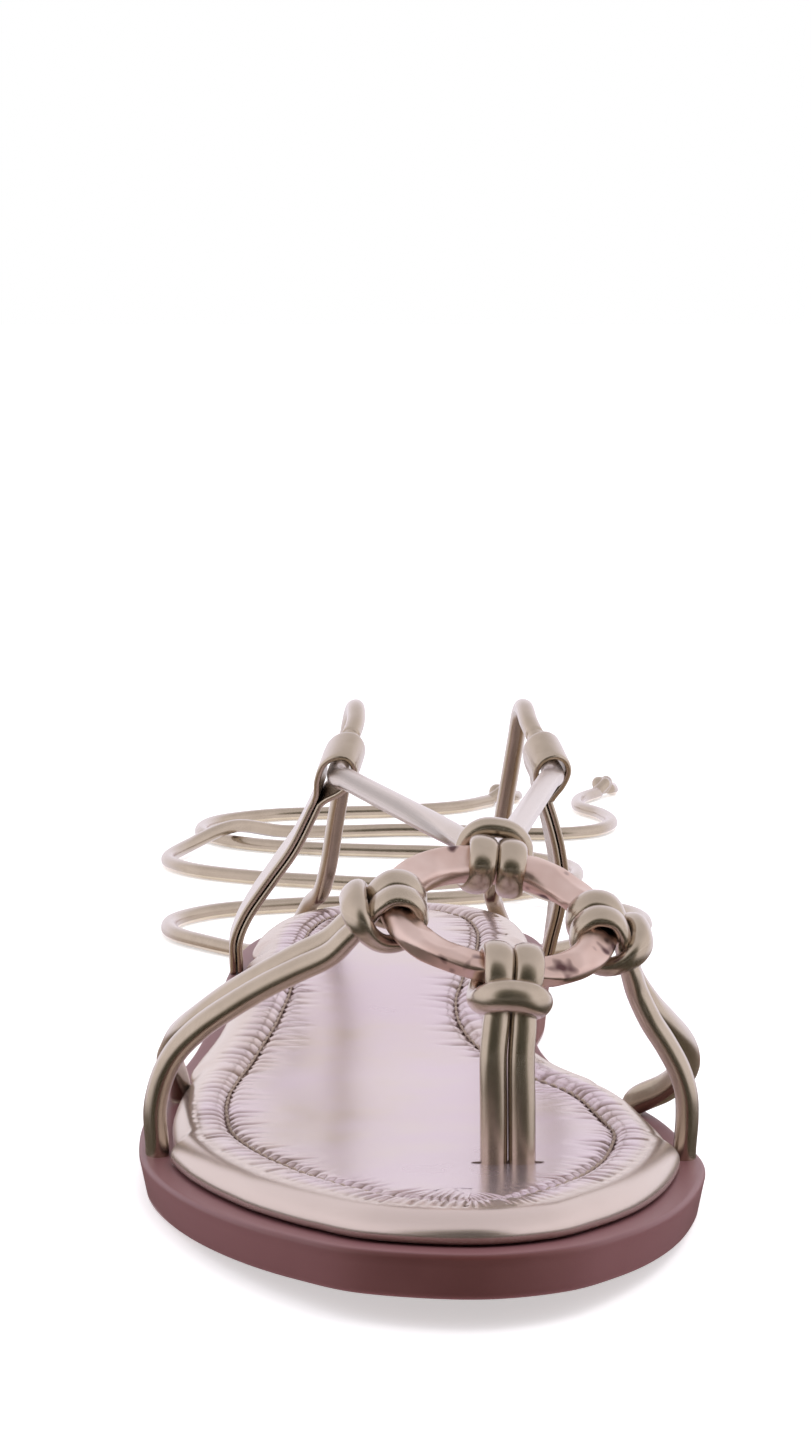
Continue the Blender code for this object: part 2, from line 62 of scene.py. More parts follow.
# The two free ties: tubular cords of metallic coated leather, rolled over a core and closed by a
# fine seam along the inner side. They leave the ankle loops, fall beside the heel and lie on the
# floor, each with a plain overhand knot near its tip.
CORD_DIAMETER = 3.5 * MM
CORD_LIES_AT = CORD_DIAMETER / 2 + 0.1 * MM
SECTION_POINTS = 24
SEAM_HALF_ANGLE = 0.20
SEAM_DEPTH = 0.10
SECTION_FULLNESS = 0.92
STRAP_FULLNESS = 0.30
END_CLOSING = 0.93
END_BULGE = 0.03
PATTERN_PER_METRE = 100
TIE_LATERAL_ROUTE = (
    (-9.70, 67.63, 57.44), (-8.66, 72.54, 59.67),
    (-8.5, 79, 61.5), (-9, 86, 60), (-10, 92, 54), (-11, 97, 45.5), (-12.5, 102.5, 35.5),
    (-14, 107.5, 25.5), (-15.5, 112.5, 19.4), (-17.5, 118.3, 16.4), (-19.5, 123, 12), (-22, 127, 6.5),
    (-25.5, 132, 3.2), (-31, 139, None), (-40, 149, None), (-48, 161, None), (-49, 175, None),
    (-40, 188, None), (-24, 195, None), (-4, 199, None), (16, 204, None), (34, 213, None),
    (45, 228, None), (46, 246, None), (36, 261, None), (19, 269, None), (-1, 273, None),
    (-21, 278, None), (-38, 288, None), (-47, 304, None), (-44, 322, None), (-30, 334, None),
    (-12, 338, None), (6, 341, None), (22, 348, None), (32, 360, None),
)
TIE_MEDIAL_ROUTE = (
    (25.80, 67.63, 57.44), (24.76, 72.54, 59.67),
    (24.3, 79, 61.5), (24, 86, 60), (23.5, 92, 54), (22.5, 97, 45.5), (21.3, 102.5, 35.5),
    (20.3, 107.5, 25.5), (19.8, 112.5, 19.4), (20.5, 118.3, 16.4), (22, 123, 12), (24.5, 127, 6.5),
    (28, 132, 3.2), (34, 139, None), (43, 148, None), (52, 158, None), (57, 170, None),
    (55, 183, None), (47, 193, None), (37, 201, 3.4), (27, 209, 5.9), (15, 217, 3.4),
    (1, 223, None), (-17, 228, None), (-34, 235, None), (-48, 246, None), (-54, 261, None),
    (-49, 276, 3.1), (-38, 288.5, 5.9), (-26, 298, 3.1), (-10, 305, None), (8, 307, None),
    (26, 303, None), (43, 299, None), (56, 304, None), (62, 317, None), (61, 332, None),
    (56, 346, None), (57, 361, None), (63, 374, None),
)


def unit(direction):
    return direction / np.linalg.norm(direction)


def smooth_curve(points, closed=False, per_span=12):
    """A dense centripetal Catmull-Rom curve through the points."""
    spots = [np.array(point, float) for point in points]
    if closed:
        spots = [spots[-1], *spots, spots[0], spots[1]]
    else:
        spots = [2 * spots[0] - spots[1], *spots, 2 * spots[-1] - spots[-2]]
    made = []
    for a, b, c, d in zip(spots, spots[1:], spots[2:], spots[3:]):
        pairs = ((a, b), (b, c), (c, d))
        knots = np.cumsum([0] + [max(1e-9, np.linalg.norm((q - p)[:3])) ** 0.5 for p, q in pairs])
        for t in np.linspace(knots[1], knots[2], per_span, endpoint=False):
            first = [
                ((knots[i + 1] - t) * p + (t - knots[i]) * q) / (knots[i + 1] - knots[i])
                for i, (p, q) in enumerate(pairs)
            ]
            second = [
                ((knots[i + 2] - t) * first[i] + (t - knots[i]) * first[i + 1])
                / (knots[i + 2] - knots[i])
                for i in (0, 1)
            ]
            made.append(
                ((knots[2] - t) * second[0] + (t - knots[1]) * second[1]) / (knots[2] - knots[1])
            )
    return np.array(made if closed else [*made, spots[-2]])


def distances(line):
    """How far along the line each of its points is."""
    return np.concatenate([[0], np.cumsum(np.linalg.norm(np.diff(line[:, :3], axis=0), axis=1))])


def evenly(line, step):
    """The same line with its points a step apart, whatever columns follow x, y, z."""
    went = distances(line)
    count = max(2, int(round(went[-1] / step)) + 1)
    at = np.linspace(0, went[-1], count)
    return np.stack([np.interp(at, went, line[:, column]) for column in range(line.shape[1])], 1)


def unit_rows(rows):
    return rows / np.linalg.norm(rows, axis=1)[:, None]


def running(line):
    """The unit direction in which a line runs at each of its points."""
    return unit_rows(np.gradient(line[:, :3], axis=0))


def carried(line, outer):
    """A normal at each point of a line, carried along it without twist from the first one."""
    run = running(line)
    normals = [unit(outer - run[0] * (outer @ run[0]))]
    for direction in run[1:]:
        normals.append(unit(normals[-1] - direction * (normals[-1] @ direction)))
    return np.array(normals)


def mesh_piece(name, points, faces, material, layout=None):
    """A smooth mesh object at the origin, with a UV map where a pattern follows its surface."""
    mesh = bpy.data.meshes.new(name)
    mesh.from_pydata([tuple(point) for point in points], [], faces)
    if layout is not None:
        layer = mesh.uv_layers.new(name="run")
        corners = [spot for face in layout for spot in face]
        layer.data.foreach_set("uv", np.array(corners, np.float32).ravel())
    mesh.materials.append(material)
    mesh.shade_smooth()
    piece = bpy.data.objects.new(name, mesh)
    bpy.context.scene.collection.objects.link(piece)
    return piece


def rolled_cord(name, line, outer, widths, heights, material, flat=False):
    """A closed tube of rolled leather along an even line, or a flat strap with rounded edges.
    outer points away from its seam."""
    run = running(line)
    side = np.cross(run, outer)
    angles = np.linspace(0, 2 * math.pi, SECTION_POINTS, endpoint=False) + math.pi / 2
    seam = np.abs((angles - 1.5 * math.pi + math.pi) % (2 * math.pi) - math.pi)
    dent = 1 - SEAM_DEPTH * np.exp(-((seam / SEAM_HALF_ANGLE) ** 2))
    went = distances(line)
    fullness = STRAP_FULLNESS if flat else SECTION_FULLNESS
    dent = np.ones(SECTION_POINTS) if flat else dent
    level = np.sign(np.cos(angles)) * np.abs(np.cos(angles)) ** fullness * dent
    rise = np.sign(np.sin(angles)) * np.abs(np.sin(angles)) ** fullness * dent
    rings = (
        line[:, None, :3]
        + side[:, None, :] * level[None, :, None] * widths[:, None, None] / 2
        + outer[:, None, :] * rise[None, :, None] * heights[:, None, None] / 2
    )
    first = line[0, :3] + (rings[0] - line[0, :3]) * END_CLOSING - run[0] * heights[0] * END_BULGE
    last = line[-1, :3] + (rings[-1] - line[-1, :3]) * END_CLOSING + run[-1] * heights[-1] * END_BULGE
    rings = np.concatenate([first[None], rings, last[None]])
    went = np.concatenate([[went[0]], went, [went[-1]]]) * PATTERN_PER_METRE
    count = SECTION_POINTS
    faces, layout = [], []
    for row in range(len(rings) - 1):
        low, high = row * count, (row + 1) * count
        for i in range(count):
            j = (i + 1) % count
            faces.append((low + i, low + j, high + j, high + i))
            left, right = i / count, (i + 1) / count
            layout.append((
                (left, went[row]), (right, went[row]), (right, went[row + 1]), (left, went[row + 1]),
            ))
    foot, tip = list(range(count))[::-1], list(range((len(rings) - 1) * count, len(rings) * count))
    for cap in (foot, tip):
        faces.append(cap)
        layout.append([(0.5, 0.0)] * count)
    return mesh_piece(name, rings.reshape(-1, 3), faces, material, layout)


def fill(tree, node, values):
    """Sets each named socket of a node: to a constant, or by a link where the value is a socket."""
    for name, value in values.items():
        if isinstance(value, bpy.types.NodeSocket):
            tree.links.new(value, node.inputs[name])
        else:
            node.inputs[name].default_value = value


def shading(tree, kind, values=None, **settings):
    """The outputs of a new shader node."""
    node = tree.nodes.new("ShaderNode" + kind)
    for name, value in settings.items():
        setattr(node, name, value)
    fill(tree, node, values or {})
    return node.outputs


def reckoned(tree, operation, *values):
    return shading(tree, "Math", dict(enumerate(values)), operation=operation)[0]


def ranged(tree, value, from_min=0.0, from_max=1.0, to_min=0.0, to_max=1.0, kind="LINEAR"):
    """A value carried from one span to another."""
    return shading(tree, "MapRange", {
        "Value": value, "From Min": from_min, "From Max": from_max, "To Min": to_min, "To Max": to_max,
    }, interpolation_type=kind)["Result"]


def tinted(tree, factor, first, colour):
    """A colour blended by a factor towards a plain one."""
    values = {"Factor": factor, "A": first, "B": (*colour, 1)}
    return shading(tree, "Mix", values, data_type="RGBA")["Result"]


def ramp(tree, source, stops):
    """A colour ramp fed by a value, with (place, colour) stops."""
    made = tree.nodes.new("ShaderNodeValToRGB")
    elements = made.color_ramp.elements
    while len(elements) < len(stops):
        elements.new(0.5)
    for element, (place, colour) in zip(elements, stops):
        element.position = place
        element.color = (*colour, 1)
    fill(tree, made, {"Fac": source})
    return made.outputs["Color"]


def grazing(tree):
    """0 where a surface faces the viewer, 1 where it is seen edge on."""
    return shading(tree, "LayerWeight", {"Blend": 0.5})["Facing"]


def bumped(tree, height, strength, depth):
    return shading(tree, "Bump", {"Height": height, "Strength": strength, "Distance": depth})["Normal"]


def new_material(name):
    """(a new material, its node tree, its shader)"""
    material = bpy.data.materials.new(name)
    material.use_nodes = True
    return material, material.node_tree, material.node_tree.nodes["Principled BSDF"]


def leather_group():
    """The coated leather's fine grain: pore height and cloudy tone."""
    group = bpy.data.node_groups.new("coated_leather_grain", "ShaderNodeTree")
    face = group.interface
    face.new_socket("Vector", in_out="INPUT", socket_type="NodeSocketVector")
    for name, value in (("Grain Scale", 900), ("Cloud Scale", 60)):
        scale = face.new_socket(name, in_out="INPUT", socket_type="NodeSocketFloat")
        scale.default_value = value
    for name in ("Grain Height", "Cloud"):
        face.new_socket(name, in_out="OUTPUT", socket_type="NodeSocketFloat")
    enter, leave = group.nodes.new("NodeGroupInput").outputs, group.nodes.new("NodeGroupOutput")
    fine_place = {"Vector": enter["Vector"], "Scale": enter["Grain Scale"]}
    cells = shading(group, "TexVoronoi", fine_place, feature="DISTANCE_TO_EDGE")
    fine = shading(group, "TexNoise", {"Detail": 4, **fine_place})
    height = reckoned(group, "MULTIPLY_ADD", cells["Distance"], 0.8, fine["Fac"])
    clouds = shading(group, "TexNoise", {
        "Detail": 3, "Roughness": 0.6, "Vector": enter["Vector"], "Scale": enter["Cloud Scale"],
    })
    fill(group, leave, {"Grain Height": height, "Cloud": clouds["Fac"]})
    return group


LEATHER_GRAIN = leather_group()


def grained(tree, grain_scale, cloud_scale):
    """(coordinates, the leather's grain on the object's own coordinates)"""
    where = shading(tree, "TexCoord")
    return where, shading(tree, "Group", {
        "Vector": where["Object"], "Grain Scale": grain_scale, "Cloud Scale": cloud_scale,
    }, node_tree=LEATHER_GRAIN)


def cord_leather(name, pale, deep, roughness, metallic):
    """Coated leather rolled into a cord: cross creases and a sewn seam that follow its length, and a painted
    sheen where it is seen edge on.
    """
    material, tree, shader = new_material(name)
    where, grain = grained(tree, 1400, 160)
    tone = ramp(tree, grain["Cloud"], ((0.32, deep), (0.60, pale)))
    round_cord = shading(tree, "SeparateXYZ", {"Vector": where["UV"]})["X"]
    off = reckoned(tree, "SUBTRACT", round_cord, 0.5)
    seam = ranged(tree, reckoned(tree, "ABSOLUTE", off), 0.02, 0.11, 1.0, 0.0)
    stretched = shading(tree, "Mapping", {"Scale": (2, 60, 1), "Vector": where["UV"]})["Vector"]
    crease = shading(tree, "TexNoise", {"Scale": 1, "Detail": 3, "Vector": stretched})["Fac"]
    stitch = reckoned(tree, "MULTIPLY", seam, crease)
    # Painted sheen: the colour is blended towards a pale lilac white where the cord is seen edge on,
    # standing in for the reflection of the bright surroundings.
    painted_sheen = ranged(tree, grazing(tree), 0.45, 1.0, 0.0, 0.80)
    tone_with_painted_sheen = tinted(tree, painted_sheen, tone, (0.88, 0.80, 0.83))
    height = reckoned(tree, "MULTIPLY_ADD", grain["Grain Height"], 0.12, stitch)
    fill(tree, shader, {
        "Base Color": tinted(tree, stitch, tone_with_painted_sheen, [channel * 0.25 for channel in deep]),
        "Roughness": ranged(tree, grain["Cloud"], to_min=roughness * 0.85, to_max=roughness * 1.2),
        "Metallic": metallic,
        "Normal": bumped(tree, height, 0.10, 0.12 * MM),
    })
    return material


tie_leather = cord_leather("champagne_cord_leather", (0.57, 0.485, 0.385), (0.51, 0.43, 0.335), 0.24, 0.96)


def free_tie(name, route):
    """One tie on its route, with the seam turned inwards and down."""
    placed = [
        (x * MM, y * MM, CORD_LIES_AT if z is None else z * MM) for x, y, z in route
    ]
    line = evenly(smooth_curve(placed), 1.2 * MM)
    outer = carried(line, np.array([0.0, 0.3, 1.0]))
    size = np.full(len(line), CORD_DIAMETER)
    tie = rolled_cord(name + "_cord", line, outer, size, size, tie_leather)
    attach(tie, "root")
    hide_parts(name)
    return tie, line


KNOT_CORD = 3.2 * MM
KNOT_TAIL = 7.0 * MM
KNOT_TAIL_SIDE = 1.5 * MM
KNOT_TAIL_DIP = 1.2 * MM
KNOT_LOBE = 0.92 * MM
KNOT_HALF_TURN = 0.80 * math.pi


def overhand_knot(name, line):
    """A drawn-up overhand knot on the tie's last point, with its short cut tail."""
    low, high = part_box(name)
    middle = np.array((low + high) / 2)
    run = running(line)[-1]
    run = unit(np.array([run[0], run[1], 0.0]))
    across = np.array([-run[1], run[0], 0.0])
    up = np.array([0.0, 0.0, 1.0])
    turns = np.linspace(-KNOT_HALF_TURN, KNOT_HALF_TURN, 40)
    inner = [
        middle
        + run * (math.sin(t) + 2 * math.sin(2 * t)) * KNOT_LOBE * 0.85
        + across * (math.cos(t) - 2 * math.cos(2 * t) - 0.4) * KNOT_LOBE * 0.72
        + up * math.sin(3 * t) * KNOT_LOBE
        for t in turns
    ]
    if (inner[0] - inner[-1]) @ run > 0:
        inner = inner[::-1]
    start = line[-1, :3] - run * 1.0 * MM
    tail = inner[-1] + run * KNOT_TAIL * 0.5 - up * KNOT_TAIL_DIP
    tip = np.array([*(inner[-1] + run * KNOT_TAIL + across * KNOT_TAIL_SIDE)[:2], KNOT_CORD / 2])
    tail[2] = max(tail[2], KNOT_CORD / 2)
    cord_line = evenly(smooth_curve([start, *inner, tail, tip]), 0.5 * MM)
    cord_line[:, 2] = np.maximum(cord_line[:, 2], KNOT_CORD / 2)
    outer = carried(cord_line, up)
    size = np.full(len(cord_line), KNOT_CORD)
    knot = rolled_cord(name + "_cord", cord_line, outer, size, size, tie_leather)
    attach(knot, "root")
    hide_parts(name)
    return knot


for tie_name, knot_name, route in (
    ("tie_lateral", "tie_knot_lateral", TIE_LATERAL_ROUTE),
    ("tie_medial", "tie_knot_medial", TIE_MEDIAL_ROUTE),
):
    tie, tie_line = free_tie(tie_name, route)
    knot = overhand_knot(knot_name, tie_line)

# The outsole: one moulded unit of mauve-brown rubber, with a rounded top edge, toe spring, a
# lifted arch and a low heel. The insole is cemented on it a few millimetres inside its edge.
SOLE_LENGTH = 252 * MM
BALL_WIDTH = 88.8 * MM
HEEL_WIDTH = 61.0 * MM
SOLE_THICKNESS = 6.6 * MM
SOLE_UNDERCUT = 1.0 * MM
SOLE_EDGE_ROUND = 0.8 * MM
TOE_SPRING = 4.8 * MM
TOE_SPRING_SHARE = 0.30
TOE_SPRING_POWER = 1.5
HEEL_LIFT = 5.0 * MM
LIFT_START_SHARE, LIFT_END_SHARE = 0.42, 0.76
HEEL_BREAST_SHARE = 0.70
HEEL_BREAST_SLOPE = 0.006
WAIST_START_SHARE, WAIST_END_SHARE = 0.40, 0.76
OUTSOLE_POINTS = 480
SPINE_MERGE = 0.02 * MM
LATERAL, MEDIAL = -1, 1
# share of length, lateral half width, medial half width (both as shares of the local width)
SOLE_OUTLINE = (
    (0.020, 0.118, 0.214), (0.060, 0.225, 0.310), (0.110, 0.319, 0.389),
    (0.180, 0.412, 0.458), (0.260, 0.480, 0.499), (0.320, 0.500, 0.484),
    (0.400, 0.498, 0.437), (0.480, 0.484, 0.339), (0.560, 0.486, 0.304),
    (0.660, 0.524, 0.370), (0.760, 0.550, 0.470), (0.860, 0.515, 0.485),
    (0.930, 0.431, 0.433), (0.980, 0.254, 0.279),
)
TOE_TIP_SIDE = 0.073
HEEL_BACK_SIDE = 0.013


def ease(value):
    """0 to 1 with level ends."""
    value = min(1.0, max(0.0, value))
    return value * value * (3 - 2 * value)


def local_width(share):
    waist = (share - WAIST_START_SHARE) / (WAIST_END_SHARE - WAIST_START_SHARE)
    return BALL_WIDTH + (HEEL_WIDTH - BALL_WIDTH) * ease(waist)


def along(share):
    """Y of a share of the sole's length, from the toe tip."""
    return (share - 0.5) * SOLE_LENGTH


def sole_edge():
    """The sole's edge as a closed line, from the toe tip up the lateral side."""
    lateral = [(-side * local_width(share), along(share)) for share, side, _ in SOLE_OUTLINE]
    medial = [(side * local_width(share), along(share)) for share, _, side in SOLE_OUTLINE]
    toe = (TOE_TIP_SIDE * BALL_WIDTH, along(0))
    back = (HEEL_BACK_SIDE * HEEL_WIDTH, along(1))
    loop = smooth_curve([toe, *lateral, back, *reversed(medial)], closed=True, per_span=40)
    return np.column_stack([np.vstack([loop, loop[:1]]), np.zeros(len(loop) + 1)])


SOLE_EDGE = sole_edge()


def edge_loop(count):
    """(points of the sole's edge at even steps, the direction straight into the sole at each)."""
    went = distances(SOLE_EDGE)
    at = np.linspace(0, went[-1], count, endpoint=False)
    spots = np.stack([np.interp(at, went, SOLE_EDGE[:, axis]) for axis in (0, 1)], 1)
    run = np.roll(spots, -1, axis=0) - np.roll(spots, 1, axis=0)
    run = unit_rows(run)
    return spots, np.stack([run[:, 1], -run[:, 0]], 1)


def sole_top(y):
    share = y / SOLE_LENGTH + 0.5
    spring = max(0.0, 1 - share / TOE_SPRING_SHARE)
    lift = ease((share - LIFT_START_SHARE) / (LIFT_END_SHARE - LIFT_START_SHARE))
    return SOLE_THICKNESS + TOE_SPRING * spring**TOE_SPRING_POWER + HEEL_LIFT * lift


def sole_under(y):
    share = y / SOLE_LENGTH + 0.5
    arch = sole_top(y) - SOLE_THICKNESS
    if share < HEEL_BREAST_SHARE - HEEL_BREAST_SLOPE:
        return arch
    return arch * ease((HEEL_BREAST_SHARE + HEEL_BREAST_SLOPE - share) / (2 * HEEL_BREAST_SLOPE))


def band_faces(rows, count, start=0, closed=False):
    """Quads between rows of count points each, every row a closed loop."""
    faces = []
    for row in range(rows if closed else rows - 1):
        low, high = start + row * count, start + (row + 1) % rows * count
        for i in range(count):
            j = (i + 1) % count
            faces.append((low + i, high + i, high + j, low + j))
    return faces


def face_outwards(piece, merge=0.0):
    """Turns all faces outwards, after merging points nearer than the merge distance."""
    bpy.ops.object.select_all(action="DESELECT")
    bpy.context.view_layer.objects.active = piece
    piece.select_set(True)
    bpy.ops.object.mode_set(mode="EDIT")
    bpy.ops.mesh.select_all(action="SELECT")
    if merge:
        bpy.ops.mesh.remove_doubles(threshold=merge)
    bpy.ops.mesh.normals_make_consistent(inside=False)
    bpy.ops.object.mode_set(mode="OBJECT")
    piece.select_set(False)


def heights(face, flat):
    """How high a face of the sole stands at each point of a flat outline."""
    return np.array([face(y) for y in flat[:, 1]])


def spine_of(y):
    """The middle line of the sole that its surfaces draw in to, clear of both ends."""
    held = float(np.clip(y, along(0.22), along(0.86)))
    share = held / SOLE_LENGTH + 0.5
    shares, lateral, medial = zip(*SOLE_OUTLINE)
    lateral, medial = np.interp(share, shares, lateral), np.interp(share, shares, medial)
    return np.array([(medial - lateral) / 2 * local_width(share), held])


def outsole_rubber():
    """Matte moulded rubber: fine grain, and a painted pale sheen where it is seen edge on, standing in for
    the reflection of the bright surroundings.
    """
    material, tree, shader = new_material("mauve_brown_rubber")
    _, grain = grained(tree, 2200, 45)
    tone = ramp(tree, grain["Cloud"], ((0.35, (0.095, 0.021, 0.018)), (0.70, (0.118, 0.029, 0.025))))
    # Painted sheen: the colour is blended towards a pale mauve where the rubber is seen edge on.
    painted_edge_sheen = ranged(tree, grazing(tree), 0.10, 0.85)
    fill(tree, shader, {
        "Base Color": tinted(tree, painted_edge_sheen, tone, (0.24, 0.105, 0.115)),
        "Roughness": ranged(tree, grain["Cloud"], to_min=0.36, to_max=0.50),
        "Normal": bumped(tree, grain["Grain Height"], 0.15, 0.05 * MM),
    })
    return material


# inset from the edge, height off the underside or the top (as shares of the edge's rounding)
LOWER_EDGE = ((1.00, 0.00), (0.55, 0.06), (0.25, 0.28), (0.06, 0.62), (0.0, 1.00))
UPPER_EDGE = ((0.0, -1.10), (0.04, -0.72), (0.16, -0.40), (0.42, -0.14), (0.80, -0.02), (1.3, 0.0))


def detailed_outsole():
    """A smooth unit through rows of points, its first and last row drawn in to a spine."""
    spots, inward = edge_loop(OUTSOLE_POINTS)

    def row(inset, face, lift):
        flat = spots + inward * inset
        return np.column_stack([flat, heights(face, flat) + lift])

    def drawn_in(outer_row, share, face):
        flat = np.array([
            point[:2] + (spine_of(point[1]) - point[:2]) * share for point in outer_row
        ])
        return np.column_stack([flat, heights(face, flat)])

    under = [
        row(SOLE_UNDERCUT + inset * SOLE_EDGE_ROUND, sole_under, height * SOLE_EDGE_ROUND)
        for inset, height in LOWER_EDGE
    ]
    wall = [
        row(SOLE_UNDERCUT * (1 - share), lambda y, share=share: (
            sole_under(y) * (1 - share) + sole_top(y) * share
        ), SOLE_EDGE_ROUND * (1 - 2 * share))
        for share in (0.25, 0.5, 0.75)
    ]
    over = [
        row(inset * SOLE_EDGE_ROUND, sole_top, height * SOLE_EDGE_ROUND)
        for inset, height in UPPER_EDGE
    ]
    inner_under = [drawn_in(under[0], share, sole_under) for share in (1.0, 0.75, 0.5, 0.25, 0.08)]
    inner_over = [drawn_in(over[-1], share, sole_top) for share in (0.08, 0.25, 0.5, 0.75, 1.0)]
    rows = [*inner_under, *under, *wall, *over, *inner_over]
    faces = band_faces(len(rows), OUTSOLE_POINTS)
    piece = mesh_piece("outsole_unit", np.concatenate(rows), faces, outsole_rubber())
    face_outwards(piece, SPINE_MERGE)
    return piece


outsole = detailed_outsole()
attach(outsole, "root")
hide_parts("outsole")

# The insole: a thin foam pad wrapped in pearly metallic leather. Its edge is rolled under, and a
# channel sewn about a centimetre inside the edge puckers the leather to both sides.
GAP = 0.3 * MM
INSOLE_THICKNESS = 4.7 * MM
SIDE_LEDGE = 3.9 * MM
TOE_LEDGE = 4.9 * MM
STRAP_NOTCH = 1.5 * MM
STRAP_NOTCH_SHARE = 0.035
LOOP_BASE_SHARE = 0.778
STRAP_SHARES = {LATERAL: (0.292, 0.440, LOOP_BASE_SHARE), MEDIAL: (0.276, 0.400, LOOP_BASE_SHARE)}
INSOLE_POINTS = 1400
SEAM_INSET = 10.2 * MM
CHANNEL_DEPTH = 0.75 * MM
CHANNEL_WIDTH = 1.05 * MM
PUCKER_DEPTH = 0.60 * MM
PUCKER_HALF_WIDTH = 0.20
PUCKER_PITCH_SIDE = 3.5 * MM
PUCKER_PITCH_TOE = 2.3 * MM
PUCKER_REACH_IN = 3.4 * MM
PUCKER_REACH_OUT = 4.6 * MM
PUCKER_FADE = 3.0 * MM
FINE_ROWS = 2.2 * MM
RIM_FADE = 2.2 * MM
PAD_SWELL = 0.40 * MM
NOTCH_CLEARANCE = 2.5 * MM
PANEL_INSET = SEAM_INSET + 9.0 * MM
PANEL_COLUMNS = 14
STITCH_LENGTH = 2.1 * MM
STITCH_PITCH = 2.9 * MM
THREAD_RADIUS = 0.27 * MM
# inset from the edge, height (as shares of the insole's thickness): the rolled edge
ROLLED_EDGE = (
    (0.40, 0.00), (0.16, 0.00), (0.06, 0.04), (0.01, 0.13), (0.00, 0.24), (0.02, 0.36),
    (0.07, 0.48), (0.15, 0.60), (0.26, 0.71), (0.40, 0.81), (0.57, 0.90), (0.75, 0.96), (0.95, 0.99),
)
rng = random.Random(7)


def strap_notch(spot):
    """How deep the insole's edge is cut back at a point of the sole's edge, where a strap goes in."""
    side = LATERAL if spot[0] < spine_of(spot[1])[0] else MEDIAL
    share = spot[1] / SOLE_LENGTH + 0.5
    front, back, loop = STRAP_SHARES[side]
    off = min(abs(share - loop), max(front - share, share - back, 0.0))
    return STRAP_NOTCH * ease(1.6 - 1.6 * off / STRAP_NOTCH_SHARE)


def wavering(count, cell, spread):
    """A smooth closed random line of the given spread, one value for each of count points."""
    knots = [rng.uniform(-spread, spread) for _ in range(cell)]
    at = np.arange(count) * cell / count
    low = np.floor(at).astype(int)
    part = at - low
    part = part * part * (3 - 2 * part)
    values = np.array(knots)
    return values[low % cell] * (1 - part) + values[(low + 1) % cell] * part


def bridged_pad(name, rows, marks, material):
    """A closed pad: rows up from under its edge, then bridged from side to side.
    marks holds (crease, seam) for each point of each row, kept in the UV map as masks for painted shade and
    a painted rim reflection."""
    count = len(rows[0])
    half = count // 2
    points = list(np.concatenate(rows))
    painted_light_marks = list(np.concatenate(marks))
    faces = band_faces(len(rows), count)
    for base, over in ((0, False), ((len(rows) - 1) * count, True)):
        left = [base + i for i in range(half + 1)]
        right = [base + (count - i) % count for i in range(half + 1)]
        columns = [left]
        for step in range(1, PANEL_COLUMNS):
            share = step / PANEL_COLUMNS
            column = []
            for a, b in zip(left, right):
                if a == b:
                    column.append(a)
                    continue
                column.append(len(points))
                points.append(points[a] * (1 - share) + points[b] * share)
                painted_light_marks.append(np.zeros(2))
            columns.append(column)
        columns.append(right)
        for one, other in zip(columns, columns[1:]):
            for i in range(half):
                face = list(dict.fromkeys([one[i], one[i + 1], other[i + 1], other[i]]))
                if len(face) > 2:
                    faces.append(face[::-1] if over else face)
    layout = [[painted_light_marks[corner] for corner in face] for face in faces]
    piece = mesh_piece(name, points, faces, material, layout)
    face_outwards(piece)
    return piece


def footbed_seam():
    """Where the seam runs inside the edge, and where each pucker crosses it."""
    spots, inward = edge_loop(INSOLE_POINTS)
    step = np.linalg.norm(np.diff(SOLE_EDGE, axis=0), axis=1).sum() / INSOLE_POINTS
    toe = np.array([ease((-inward_y[1] - 0.2) / 0.6) for inward_y in -inward])
    pitch = PUCKER_PITCH_SIDE + (PUCKER_PITCH_TOE - PUCKER_PITCH_SIDE) * toe
    phase = np.cumsum(step / pitch)
    pitches = round(phase[-1])
    phase = phase * pitches / phase[-1] + wavering(INSOLE_POINTS, pitches // 2, 0.30)
    seam_at = SEAM_INSET + wavering(INSOLE_POINTS, 40, 0.28 * MM)
    return spots, inward, phase, pitches, seam_at


def insole_outline(inset):
    """The insole's outline at an inset from its own edge; the straps' notches end at the seam."""
    notch_fades = ease(1 - inset / (SEAM_INSET - NOTCH_CLEARANCE))
    inward_by = LEDGE + NOTCH * notch_fades + inset + EDGE_WAVER
    return SPOTS + INWARD * inward_by[:, None]


